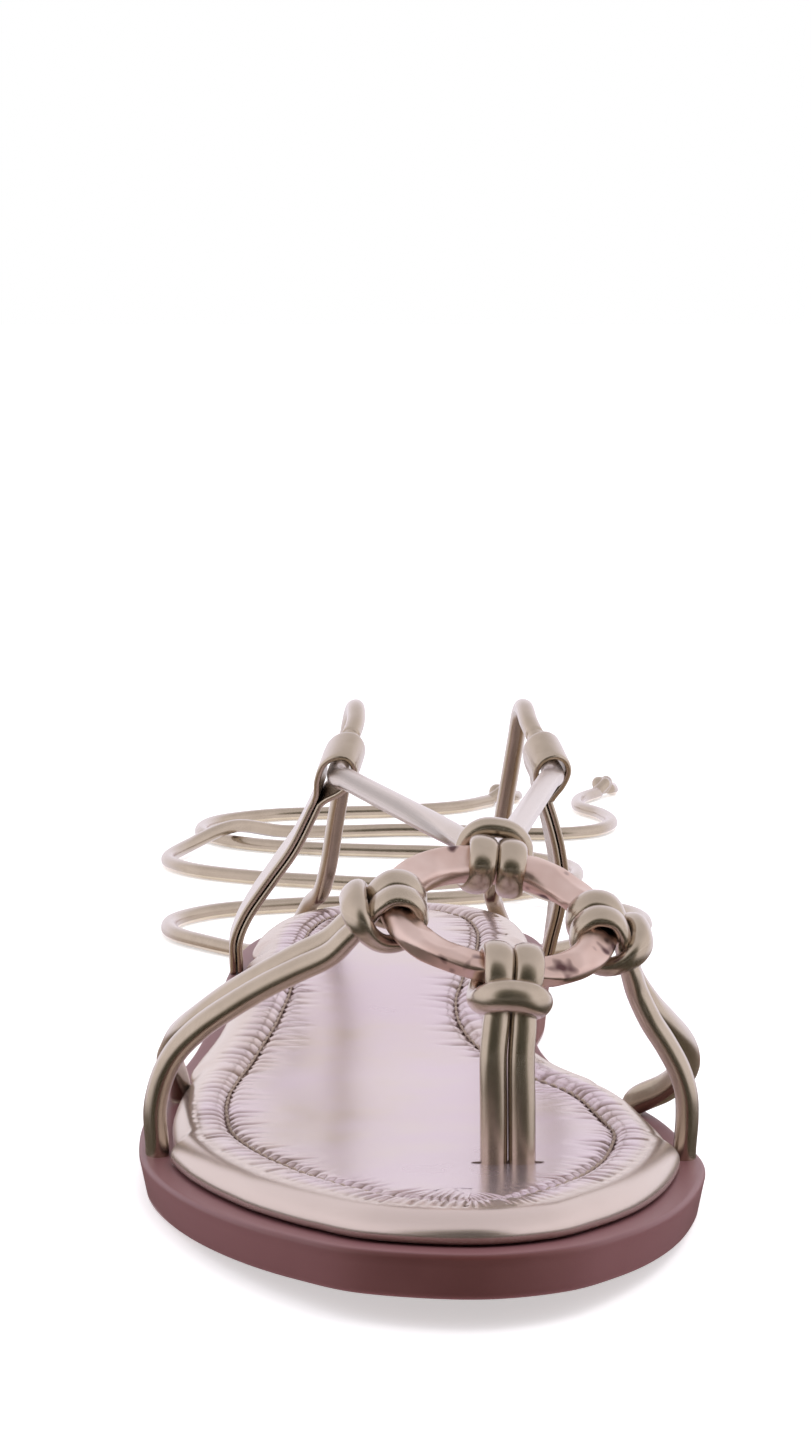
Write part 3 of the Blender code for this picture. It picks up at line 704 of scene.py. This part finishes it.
def detailed_insole(material):
    nearest = np.round(PHASE).astype(int) % PITCHES
    off = PHASE - np.round(PHASE)

    def varied(low, high):
        """One random value for each pucker, at each point of the outline."""
        return np.array([rng.uniform(low, high) for _ in range(PITCHES)])[nearest]

    deep = varied(0.35, 1.25)
    lean = varied(-0.16, 0.16)
    wide = varied(0.8, 1.3) * PUCKER_HALF_WIDTH
    reach_in = varied(0.6, 1.35) * PUCKER_REACH_IN
    reach_out = varied(0.6, 1.30) * PUCKER_REACH_OUT

    def pucker(inset):
        """How deep the leather is drawn in at an inset, 0 to about 1: sharp valleys that lean."""
        away = inset - SEAM_AT
        reach = np.where(away > 0, reach_in, reach_out)
        fade = np.exp(-((np.abs(away) / reach) ** 1.6))
        fade = fade * ease(inset / PUCKER_FADE) * ease((PANEL_INSET - inset) / PUCKER_FADE)
        across = (off - lean * away / PUCKER_FADE) / wide
        return deep * fade * np.exp(-np.abs(across) ** 1.3)

    def channel(inset):
        return np.exp(-(((inset - SEAM_AT) / CHANNEL_WIDTH) ** 2))

    rows, marks = [], []
    for inset, height in ROLLED_EDGE:
        flat = insole_outline(inset * INSOLE_THICKNESS)
        ground = heights(sole_top, flat) + GAP
        rows.append(np.column_stack([flat, ground + height * INSOLE_THICKNESS]))
        # The rolled edge is fully marked for the painted warm reflection on the rim.
        marks.append(np.tile([0.0, -1.0], (INSOLE_POINTS, 1)))
    first = ROLLED_EDGE[-1][0] * INSOLE_THICKNESS
    outer_part = np.linspace(first, SEAM_INSET - FINE_ROWS, 13)[1:]
    seam_part = np.linspace(SEAM_INSET - FINE_ROWS, SEAM_INSET + FINE_ROWS, 15)[1:]
    inner_part = np.linspace(SEAM_INSET + FINE_ROWS, PANEL_INSET, 13)[1:]
    for inset in (*outer_part, *seam_part, *inner_part):
        flat = insole_outline(inset)
        ground = heights(sole_top, flat) + GAP + INSOLE_THICKNESS * ROLLED_EDGE[-1][1]
        swell = PAD_SWELL * math.sin(min(1.0, (inset - first) / (SEAM_INSET - first)) * math.pi)
        drawn, sewn = pucker(inset), channel(inset)
        height = ground + swell - PUCKER_DEPTH * drawn - CHANNEL_DEPTH * sewn
        rows.append(np.column_stack([flat, height]))
        rim = ease(1 - (inset - first) / RIM_FADE)
        # drawn and sewn mask painted shade in the folds and the seam channel; the rim share masks a painted
        # warm reflection.
        marks.append(np.column_stack([drawn, sewn - rim]))
    return bridged_pad("insole_footbed", rows, marks, material)


def footbed_leather():
    """Pearly coated leather. The UV map holds the crease in X and the seam less the rim in Y: masks for
    painted shade in the puckers' folds and along the seam channel, and for a painted warm reflection on the
    rolled rim.
    """
    material, tree, shader = new_material("pearl_footbed_leather")
    where, grain = grained(tree, 1100, 38)
    tone = ramp(tree, grain["Cloud"], (
        (0.34, (0.71, 0.59, 0.55)), (0.46, (0.72, 0.60, 0.61)), (0.62, (0.73, 0.60, 0.66)),
    ))
    painted_light_marks = shading(tree, "SeparateXYZ", {"Vector": where["UV"]})
    specks = shading(tree, "TexVoronoi", {"Scale": 45, "Vector": where["Object"]})["Distance"]
    for mark, colour in (
        # painted warm reflection on the rolled rim
        (ranged(tree, painted_light_marks["Y"], 0.0, -1.0), (0.72, 0.61, 0.56)),
        # painted shade in the puckers' folds
        (ranged(tree, painted_light_marks["X"], 0.08, 0.85, 0.0, 0.90), (0.20, 0.115, 0.075)),
        # painted shade along the seam channel
        (ranged(tree, painted_light_marks["Y"], 0.55, 1.0, 0.0, 0.42), (0.13, 0.08, 0.06)),
        (reckoned(tree, "LESS_THAN", specks, 0.018), (0.30, 0.22, 0.20)),
    ):
        tone = tinted(tree, mark, tone, colour)
    fill(tree, shader, {
        "Base Color": tone,
        "Roughness": ranged(tree, grain["Cloud"], to_min=0.19, to_max=0.31),
        "Metallic": 0.85,
        "Normal": bumped(tree, grain["Grain Height"], 0.12, 0.06 * MM),
    })
    return material


SPOTS, INWARD, PHASE, PITCHES, SEAM_AT = footbed_seam()
EDGE_WAVER = wavering(INSOLE_POINTS, 70, 0.10 * MM)
LEDGE = SIDE_LEDGE + (TOE_LEDGE - SIDE_LEDGE) * INWARD[:, 1] ** 2
NOTCH = np.array([strap_notch(spot) for spot in SPOTS])
insole = detailed_insole(footbed_leather())
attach(insole, "root")
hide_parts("insole")


def footbed_stitching():
    """The seam's thread: short rounded stitches that lie in the channel."""
    seam = SPOTS + INWARD * (LEDGE + SEAM_AT + EDGE_WAVER)[:, None]
    ground = heights(sole_top, seam) + GAP + INSOLE_THICKNESS - CHANNEL_DEPTH
    line = np.column_stack([seam, ground + 0.10 * MM])
    line = np.vstack([line, line[:1]])
    went = distances(line)
    count = round(went[-1] / STITCH_PITCH)
    points, faces = [], []
    around = np.linspace(0, 2 * math.pi, 6, endpoint=False)
    for number in range(count):
        start = number * went[-1] / count
        at = start + STITCH_LENGTH * np.array([0.0, 0.12, 0.5, 0.88, 1.0])
        middle = np.stack([np.interp(at % went[-1], went, line[:, axis]) for axis in range(3)], 1)
        middle[:, 2] += THREAD_RADIUS * np.array([-1.4, 0.1, 0.5, 0.1, -1.4])
        run = unit(middle[-1] - middle[0])
        side = unit(np.cross(run, np.array([0.0, 0.0, 1.0])))
        up = np.cross(side, run)
        base = len(points)
        for place, size in zip(middle, (0.4, 0.9, 1.0, 0.9, 0.4)):
            for turn in around:
                points.append(place + (side * math.cos(turn) + up * math.sin(turn)) * THREAD_RADIUS * size)
        faces += band_faces(5, 6, base)
        faces.append([base + i for i in range(6)])
        faces.append([base + 24 + i for i in range(6)][::-1])
    thread, tree, shader = new_material("footbed_thread")
    fill(tree, shader, {"Base Color": (0.42, 0.32, 0.26, 1), "Roughness": 0.55})
    return mesh_piece("footbed_stitching", points, faces, thread)


stitching = footbed_stitching()
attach(stitching, "root")

# The instep ring: a cast ring, rose gold plated and polished over soft hand-filed facets. Every
# strap of the upper is hitched on it.
RING_DIAMETER = 36.0 * MM
RING_BAR = 4.6 * MM
RING_TILT = math.radians(21)
RING_ROLL = math.radians(8.5)
RING_SIDE = 11.9 * MM
RING_BEHIND_TOE = 64.0 * MM
RING_ABOVE_INSOLE = 34.1 * MM
INSOLE_TOP_SHARE = 1.02
RING_WIDTH = 4.8 * MM
RING_HEIGHT = 4.0 * MM
RING_HEEL_SIDE_GAIN = 0.10
RING_CUTS = 44
RING_FILED_SHARE = 0.635
RING_CUT_CURVE = 0.25


def insole_top(y):
    return sole_top(y) + GAP + INSOLE_TOP_SHARE * INSOLE_THICKNESS


RING_Y = along(0) + RING_BEHIND_TOE
RING_CENTRE = np.array([RING_SIDE, RING_Y, insole_top(RING_Y) + RING_ABOVE_INSOLE])
RING_UP_FOOT = np.array([0, math.cos(RING_TILT), math.sin(RING_TILT)])
RING_ACROSS = np.array([
    math.cos(RING_ROLL),
    math.sin(RING_TILT) * math.sin(RING_ROLL),
    -math.cos(RING_TILT) * math.sin(RING_ROLL),
])
RING_NORMAL = np.cross(RING_ACROSS, RING_UP_FOOT)
RING_RADIUS = (RING_DIAMETER - RING_BAR) / 2


def ring_metal():
    """Rose gold plate, cloudy and darkly tarnished in a few spots."""
    material, tree, shader = new_material("rose_gold_plate")
    place = shading(tree, "TexCoord")["Object"]
    spots = shading(tree, "TexNoise", {"Scale": 160, "Detail": 2, "Vector": place})["Fac"]
    tone = ramp(tree, spots, (
        (0.345, (0.13, 0.07, 0.07)), (0.39, (0.72, 0.53, 0.46)), (0.70, (0.84, 0.66, 0.59)),
    ))
    roughness = ranged(tree, spots, to_min=0.25, to_max=0.36)
    fill(tree, shader, {"Base Color": tone, "Metallic": 1.0, "Roughness": roughness})
    return material


def detailed_ring():
    """A ring whose round bar is dressed by flat hand-filed cuts all round it."""
    turns, section = 180, 40
    rim = 2 * math.pi * RING_RADIUS
    cuts = [
        (rng.uniform(0, rim), rng.uniform(0, 2 * math.pi), rng.uniform(0.66, 0.92), rng.uniform(4, 9) * MM)
        for _ in range(RING_CUTS)
    ]
    points = []
    swell = wavering(turns, 7, 0.05)
    for step in range(turns):
        angle = 2 * math.pi * step / turns
        radial = math.cos(angle) * RING_ACROSS + math.sin(angle) * RING_UP_FOOT
        grown = 1 + swell[step] + RING_HEEL_SIDE_GAIN * math.sin(angle)
        for spot in range(section):
            around = 2 * math.pi * spot / section
            reach = 1.0
            for where, facing, depth, length in cuts:
                along_bar = (step / turns * rim - where + rim / 2) % rim - rim / 2
                cosine = math.cos(around - facing)
                if cosine > 0.3:
                    reach = min(reach, (depth + RING_CUT_CURVE * (along_bar / length) ** 2) / cosine)
            reach *= RING_FILED_SHARE * grown
            points.append(
                RING_CENTRE
                + radial * (RING_RADIUS + math.cos(around) * RING_WIDTH * reach)
                + RING_NORMAL * math.sin(around) * RING_HEIGHT * reach
            )
    faces = band_faces(turns, section, closed=True)
    return mesh_piece("instep_ring_cast", points, faces, ring_metal())


ring = detailed_ring()
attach(ring, "root")
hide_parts("instep_ring")

# The cords of the upper: the same rolled leather in pairs, each pair one cord doubled and cow
# hitched on the ring, so that the leather is pressed a little flat where it wraps the metal.
CORD_WIDTH = 4.15 * MM
MEDIAL_CORD_WIDTH = 4.7 * MM
CORD_HEIGHT = 3.7 * MM
PAIR_PITCH = 4.2 * MM
THONG_ANGLE, THONG_DROP = math.radians(-86), math.radians(58)
LATERAL_ANGLE, LATERAL_DROP = math.radians(182), math.radians(56)
MEDIAL_ANGLE, MEDIAL_DROP = math.radians(3), math.radians(65)
LACE_ANGLE, LACE_DROP = math.radians(89), math.radians(31)
# One half of the hitch, from its leg to the middle of the bar across the legs, in millimetres.
# out from the ring, to the side, up; the outer face's look: out, side, up; width, height
HITCH = (
    (12, 2.1, 2.9, 0, 0, 1, 4.1, 3.6),
    (8, 2.05, 2.9, 0, 0, 1, 4.1, 3.4),
    (5.2, 1.95, 2.9, 0, 0, 1, 3.9, 3),
    (2.6, 2, 3.1, 0, 0, 1, 4.1, 2.6),
    (0.2, 2.25, 3.4, 0, 0, 1, 4.5, 2.6),
    (-2.2, 2.3, 2.7, -0.7, 0, 0.7, 4.6, 2.6),
    (-3.5, 2.3, 0.2, -1, 0, 0, 4.6, 2.6),
    (-2.4, 2.4, -2.5, -0.7, 0, -0.7, 4.5, 2.6),
    (0.2, 2.8, -3.5, 0, 0.1, -1, 4.4, 2.7),
    (2.9, 3.6, -2.9, 0.5, 0.3, -0.8, 4.3, 2.8),
    (4.5, 4.3, -0.7, 0.8, 0.6, -0.2, 4.2, 3),
    (4.7, 4.5, 1.9, 0.7, 0.7, 0.1, 4.2, 3),
    (4.1, 4, 4.3, 0.3, 0.7, 0.7, 4.5, 3.2),
    (3.5, 2.3, 5.8, 0, 0.3, 1, 4.8, 3.3),
    (3.3, 0, 6.1, 0, 0, 1, 4.8, 3.3),
)


def hitch_points(angle, drop):
    """Rows of place, outer face, width and height for a whole hitch, leg to leg."""
    radial = math.cos(angle) * RING_ACROSS + math.sin(angle) * RING_UP_FOOT
    tangent = -math.sin(angle) * RING_ACROSS + math.cos(angle) * RING_UP_FOOT
    out = math.cos(drop) * radial - math.sin(drop) * RING_NORMAL
    up = math.cos(drop) * RING_NORMAL + math.sin(drop) * radial
    axes = np.array([out, tangent, up])
    bar = RING_CENTRE + radial * RING_RADIUS
    rows = []
    for sign, table in ((1, HITCH), (-1, HITCH[-2::-1])):
        for row in np.array(table) * (1, sign, 1, 1, sign, 1, 1, 1):
            spot, look = bar + row[:3] @ axes * MM, unit(row[3:6] @ axes)
            rows.append(np.concatenate([spot, look, row[6:] * MM]))
    return rows


def square_to(run, looks):
    """The looks at each point of a line, turned square to its run."""
    return unit_rows(looks - run * (looks * run).sum(1)[:, None])


def hitched_cord(name, node, first_leg, second_leg, hitch, width=CORD_WIDTH):
    """One doubled cord: leg, hitch, leg, with the hitch's flattened sections between the legs."""
    plain = [*hitch[0][3:6], width, CORD_HEIGHT]
    first = [np.concatenate([point, plain[len(point) - 3:]]) for point in first_leg]
    second = [np.concatenate([point, plain[len(point) - 3:]]) for point in second_leg]
    line = evenly(smooth_curve([*first, *hitch, *reversed(second)]), 0.6 * MM)
    outer = square_to(running(line), line[:, 3:6])
    piece = rolled_cord(name, line[:, :3], outer, line[:, 6], line[:, 7], tie_leather)
    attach(piece, "root")
    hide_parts(node)
    return piece


# The toe thong: one rolled leather cord, doubled. Both ends are drawn down through a slit in the
# footbed between the big toe and the next one, and its bight is cow hitched on the ring.
THONG_SIDE = 12.4 * MM
THONG_Y = along(0) + 43.5 * MM
THONG_FOOT_SINK = 0.8 * MM


def toe_thong():
    hitch = hitch_points(THONG_ANGLE, THONG_DROP)
    legs = []
    for start, side in ((hitch[0], 1), (hitch[-1], -1)):
        foot = np.array([THONG_SIDE + side * PAIR_PITCH / 2, THONG_Y, insole_top(THONG_Y) - THONG_FOOT_SINK])
        way = start[:3] - foot
        legs.append([foot, foot + way * np.array([0, 0, 0.12]), foot + way * np.array([0.4, 0.4, 0.5])])
    return hitched_cord("toe_thong_cord", "upper_toe_thong", legs[0], legs[1], hitch)


toe_thong()
# A flat dark disc at the footbed's top: painted shade in the slit where the thong goes down.
bpy.ops.mesh.primitive_uv_sphere_add(
    segments=32, ring_count=16, radius=1.0,
    location=(THONG_SIDE, THONG_Y, insole_top(THONG_Y) - 0.06 * MM),
)
slit = bpy.context.object
slit.name = "toe_thong_slit"
slit.scale = (5.5 * MM, 0.6 * MM, 0.18 * MM)
bpy.ops.object.transform_apply(location=True, rotation=True, scale=True)
slit_shade_material, slit_tree, slit_shader = new_material("slit_shadow")
fill(slit_tree, slit_shader, {"Base Color": (0.16, 0.10, 0.08, 1), "Roughness": 0.5})
slit.data.materials.append(slit_shade_material)
bpy.ops.object.shade_smooth()
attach(slit, "root")

# The side straps: one rolled leather cord on each side, doubled and cow hitched on the ring. Its two
# legs go their own way down to the sole's edge, where they are caught between insole and outsole.
STRAP_FOOT_INSET = 1.0 * MM
STRAP_FOOT_SINK = 1.6 * MM
STRAP_FOOT_RISE = 1.0 * MM
# side, share of the sole's length, the climb as (up, run, bulge) shares, and the foot's inset
STRAP_CORDS = {
    "lateral_front": (LATERAL, 0.292, (
        (0.20, 0.02, 0.17), (0.31, 0.06, 0.24), (0.42, 0.14, 0.29), (0.52, 0.24, 0.31),
        (0.63, 0.38, 0.29), (0.73, 0.54, 0.24), (0.84, 0.70, 0.16), (0.92, 0.84, 0.08),
    )),
    "lateral_back": (LATERAL, 0.440, (
        (0.17, 0.12, 0.14), (0.27, 0.28, 0.23), (0.38, 0.46, 0.28), (0.49, 0.62, 0.31),
        (0.60, 0.75, 0.29), (0.72, 0.84, 0.24), (0.82, 0.91, 0.17), (0.92, 0.96, 0.08),
    ), 2.2 * MM),
    "medial_front": (MEDIAL, 0.276, (
        (0.23, 0.12, 0.08), (0.38, 0.38, 0.115), (0.53, 0.62, 0.115), (0.68, 0.77, 0.08),
        (0.83, 0.89, 0.03),
    )),
    "medial_back": (MEDIAL, 0.400, (
        (0.17, 0.14, 0.19), (0.26, 0.26, 0.27), (0.36, 0.39, 0.31), (0.46, 0.52, 0.31),
        (0.57, 0.66, 0.27), (0.69, 0.81, 0.19), (0.83, 0.94, 0.09),
    )),
}
EDGE_SPOTS, EDGE_INWARD = edge_loop(2400)


def edge_point(side, share):
    """(point on the sole's edge, direction straight into the sole) at a share of its length."""
    on_side = np.where((EDGE_SPOTS[:, 0] - np.array([
        spine_of(y)[0] for y in EDGE_SPOTS[:, 1]
    ])) * side > 0)[0]
    best = on_side[np.argmin(np.abs(EDGE_SPOTS[on_side, 1] - along(share)))]
    return EDGE_SPOTS[best], EDGE_INWARD[best]


def climbing(side, foot, end, rows):
    """Points from a foot on the sole's edge up to the end, by the columns of their table."""
    way = end - foot
    return [
        foot + np.array([way[0] * up + side * bulge * way[2], way[1] * run, way[2] * up])
        for up, run, bulge in rows
    ]


def strap_leg(start, side, share, route, foot_inset=STRAP_FOOT_INSET):
    point, inward = edge_point(side, share)
    x, y = point + inward * (CORD_DIAMETER / 2 + foot_inset)
    foot = np.array([x, y, sole_top(y) + GAP])
    sunk, risen = foot - np.array([0, 0, STRAP_FOOT_SINK]), foot + np.array([0, 0, STRAP_FOOT_RISE])
    return [sunk, risen, *climbing(side, foot, start[:3], route)]


for name, node, turn, first, second, width in (
    ("lateral_strap_cord", "upper_strap_lateral", (LATERAL_ANGLE, LATERAL_DROP),
     "lateral_front", "lateral_back", CORD_WIDTH),
    ("medial_strap_cord", "upper_strap_medial", (MEDIAL_ANGLE, MEDIAL_DROP),
     "medial_back", "medial_front", MEDIAL_CORD_WIDTH),
):
    hitch = hitch_points(*turn)
    to_first = strap_leg(hitch[0], *STRAP_CORDS[first])
    to_second = strap_leg(hitch[-1], *STRAP_CORDS[second])
    hitched_cord(name, node, to_first, to_second, hitch, width)

# The lace's taut middle, hitched on the ring and led back through the ankle loops, and the two
# loops themselves: flat folded straps, sewn together under the lace.
LACE_END_DIAMETER = 3.42 * MM
LOOP_STRAP_WIDTH = 9.0 * MM
LOOP_STRAP_THICKNESS = 1.25 * MM
LOOP_EYE_WIDTH = 6.3 * MM
LOOP_FOOT_INSET = 1.45 * MM
EYE_LEAD_SHARE = 0.8
LOOP_STEMS = {
    LATERAL: (
        (0.06, 0.04, 0.03), (0.15, 0.12, 0.07), (0.27, 0.20, 0.08), (0.45, 0.38, 0.05),
        (0.61, 0.60, 0.02), (0.82, 0.87, 0.02),
    ),
    MEDIAL: (
        (0.06, 0.03, 0.02), (0.17, 0.14, 0.04), (0.29, 0.27, 0.06), (0.44, 0.42, 0.07),
        (0.59, 0.63, 0.05), (0.72, 0.82, 0.02), (0.82, 0.94, -0.01),
    ),
}
LOOP_EYE = ((0.22, 0.16), (0.60, 0.40), (1.05, 0.50), (1.36, 0.32), (1.48, 0.00))
LOOP_AXIS_RISE = math.radians(24)
LOOP_AXIS_TURN = math.radians(12)
EYE_Y = along(0) + 188.0 * MM
EYE_Z = insole_top(EYE_Y) + 38.2 * MM
EYES = {LATERAL: np.array([-10.9 * MM, EYE_Y, EYE_Z]), MEDIAL: np.array([27.0 * MM, EYE_Y, EYE_Z])}
# Where the lace's outer face looks along each run, from the ankle loop to the ring: the outer
# run has turned over and shows its seam.
LACE_LOOKS = {
    LATERAL: ((0.80, 0.0, -0.60), (0.85, 0.0, -0.50), (0.90, 0.0, -0.40), (0.90, 0.0, 0.30)),
    MEDIAL: ((0.1, 0.0, 1.0), (0.1, 0.0, 1.0), (0.0, 0.0, 1.0), (0.0, 0.0, 1.0)),
}


def eye_axis(side):
    """The direction in which the lace runs backwards through an ankle loop."""
    level = math.cos(LOOP_AXIS_RISE)
    return np.array([
        -side * math.sin(LOOP_AXIS_TURN) * level,
        math.cos(LOOP_AXIS_TURN) * level,
        math.sin(LOOP_AXIS_RISE),
    ])


def ankle_loop(name, node, side):
    """A folded strap as a swept flat band with rounded edges, from its foot over the lace and back."""
    point, inward = edge_point(side, LOOP_BASE_SHARE)
    axis = eye_axis(side)
    apart = (LOOP_STRAP_THICKNESS + 0.1 * MM) / 2
    x, y = point + inward * LOOP_FOOT_INSET
    foot = np.array([x, y, sole_top(y) + 2 * GAP])
    stem = [foot, *climbing(side, foot, EYES[side], LOOP_STEMS[side])]
    to_lace = EYES[side] - stem[-1]
    stand = to_lace - axis * (to_lace @ axis)
    across = np.cross(axis, unit(stand))
    stem_line = smooth_curve(stem, per_span=6)
    half = []
    for index, place in enumerate(stem_line):
        run = stem_line[min(index + 1, len(stem_line) - 1)] - stem_line[max(index - 1, 0)]
        half.append((place, unit(np.cross(axis, unit(run))) * apart))
    eye = [(stem[-1] + stand * height, across * width * LOOP_EYE_WIDTH) for height, width in LOOP_EYE]
    near = [place + sideways for place, sideways in [*half, *eye]]
    far = [place - sideways for place, sideways in [*half, *eye[:-1]]]
    line = evenly(smooth_curve([*near, *reversed(far)], per_span=8), 0.7 * MM)
    run = running(line)
    edge_run = np.array([abs(inward[1]) * np.sign(-side * inward[0] * inward[1]), abs(inward[0]), 0])
    rise = 0.8 * (stem[-1][2] - foot[2])
    turned = np.array([ease((place[2] - foot[2]) / rise) for place in line])
    broad = square_to(run, edge_run * (1 - turned[:, None]) + axis * turned[:, None])
    size = np.full(len(line), LOOP_STRAP_THICKNESS)
    wide = np.full(len(line), LOOP_STRAP_WIDTH)
    loop = rolled_cord(name, line, np.cross(broad, run), wide, size, tie_leather, flat=True)
    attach(loop, "root")
    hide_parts(node)
    return loop


ankle_loop("lateral_ankle_loop", "upper_ankle_loop_lateral", LATERAL)
ankle_loop("medial_ankle_loop", "upper_ankle_loop_medial", MEDIAL)


def instep_lace():
    hitch = hitch_points(LACE_ANGLE, LACE_DROP)
    legs = []
    for start, side in ((hitch[0], LATERAL), (hitch[-1], MEDIAL)):
        axis = eye_axis(side)
        before = EYES[side] - axis * LOOP_STRAP_WIDTH * EYE_LEAD_SHARE
        through = EYES[side] + axis * (LOOP_STRAP_WIDTH / 2 + CORD_DIAMETER)
        taut = [
            np.array([*(start[:3] + (before - start[:3]) * share), *look])
            for share, look in zip((0.9, 0.7, 0.4, 0.15), LACE_LOOKS[side])
        ]
        slim = [*LACE_LOOKS[side][0], LACE_END_DIAMETER, LACE_END_DIAMETER]
        through, eye = np.array([*through, *slim]), np.array([*EYES[side], *slim])
        legs.append([through, eye, np.array([*before, *LACE_LOOKS[side][0]]), *taut])
    return hitched_cord("instep_lace_cord", "upper_instep_lace", legs[0], legs[1], hitch)


instep_lace()

# The studio: a pale seamless paper floor under soft light from above and all round, with the dark
# room behind the camera. None of it belongs to the sandal.
bpy.ops.mesh.primitive_plane_add(size=60, location=(0, 0, 0))
floor = bpy.context.object
floor.name = "studio_floor"
paper, paper_tree, paper_shader = new_material("pale_paper")
fill(paper_tree, paper_shader, {
    "Base Color": (0.93, 0.93, 0.94, 1),
    "Roughness": 0.9,
    "Specular IOR Level": 0.0,
    "Emission Color": (1, 1, 1, 1),
    "Emission Strength": 0.50,
})
floor.data.materials.append(paper)

world = bpy.data.worlds.new("studio_surround")
bpy.context.scene.world = world
world.use_nodes = True
sky = world.node_tree
toward = shading(sky, "SeparateXYZ", {"Vector": shading(sky, "TexCoord")["Generated"]})
shade = ramp(sky, ranged(sky, toward["Y"], -0.95, -0.60, kind="SMOOTHSTEP"), (
    (0.0, (0.05, 0.048, 0.032)), (0.45, (0.28, 0.26, 0.22)), (1.0, (0.97, 0.93, 0.98)),
))
overhead_share = ranged(sky, toward["Z"], 0.35, 1.0, 1.0, 0.72)
dimmed = shading(sky, "VectorMath", {0: shade, "Scale": overhead_share}, operation="SCALE")["Vector"]
seen = shading(sky, "LightPath")["Is Camera Ray"]
surround = tinted(sky, seen, dimmed, (1.0, 1.0, 1.0))
fill(sky, sky.nodes["Background"], {"Strength": 1.0, "Color": surround})

bpy.ops.object.light_add(type="AREA", location=(0.25, -0.1, 1.1), rotation=(0.1, 0.2, 0))
overhead = bpy.context.object
overhead.name = "soft_overhead"
overhead.data.shape = "RECTANGLE"
overhead.data.size, overhead.data.size_y = 0.9, 1.1
overhead.data.energy = 5
overhead.visible_glossy = False

# A card that only the gloss sees lies over the floor. Under the sandal it is the brown of a table,
# in front it is as dark as the room behind the camera, and to the sides as pale as the paper.
bpy.ops.mesh.primitive_plane_add(size=5, location=(0, 0, 1.2 * MM))
table_glow = bpy.context.object
table_glow.name = "table_reflections"
warm, card, card_shader = new_material("table_reflections")
spot = shading(card, "TexCoord")["Object"]
level = shading(card, "VectorMath", {0: spot}, operation="NORMALIZE")["Vector"]
facing = shading(card, "SeparateXYZ", {"Vector": level})["Y"]
far_tone = ramp(card, ranged(card, facing, -0.95, -0.66, kind="SMOOTHSTEP"), (
    (0.0, (0.06, 0.055, 0.04)), (0.5, (0.30, 0.27, 0.24)), (1.0, (0.92, 0.88, 0.93)),
))
depth = shading(card, "SeparateXYZ", {"Vector": spot})["Y"]
near_tone = ramp(card, ranged(card, depth, -0.09, 0.10, kind="SMOOTHSTEP"), (
    (0.0, (0.055, 0.050, 0.032)), (1.0, (0.38, 0.27, 0.20)),
))
oval = shading(card, "Mapping", {"Vector": spot, "Scale": (1.6, 1.0, 1.0)})["Vector"]
reach = shading(card, "VectorMath", {0: oval}, operation="LENGTH")["Value"]
away = ranged(card, reach, 0.12, 0.22, kind="SMOOTHSTEP")
tones = {"Factor": away, "A": near_tone, "B": far_tone}
fill(card, card_shader, {
    "Base Color": (0, 0, 0, 1),
    "Specular IOR Level": 0,
    "Emission Strength": 1.0,
    "Emission Color": shading(card, "Mix", tones, data_type="RGBA")["Result"],
})
table_glow.data.materials.append(warm)
table_glow.visible_camera = False
table_glow.visible_diffuse = False
table_glow.visible_shadow = False
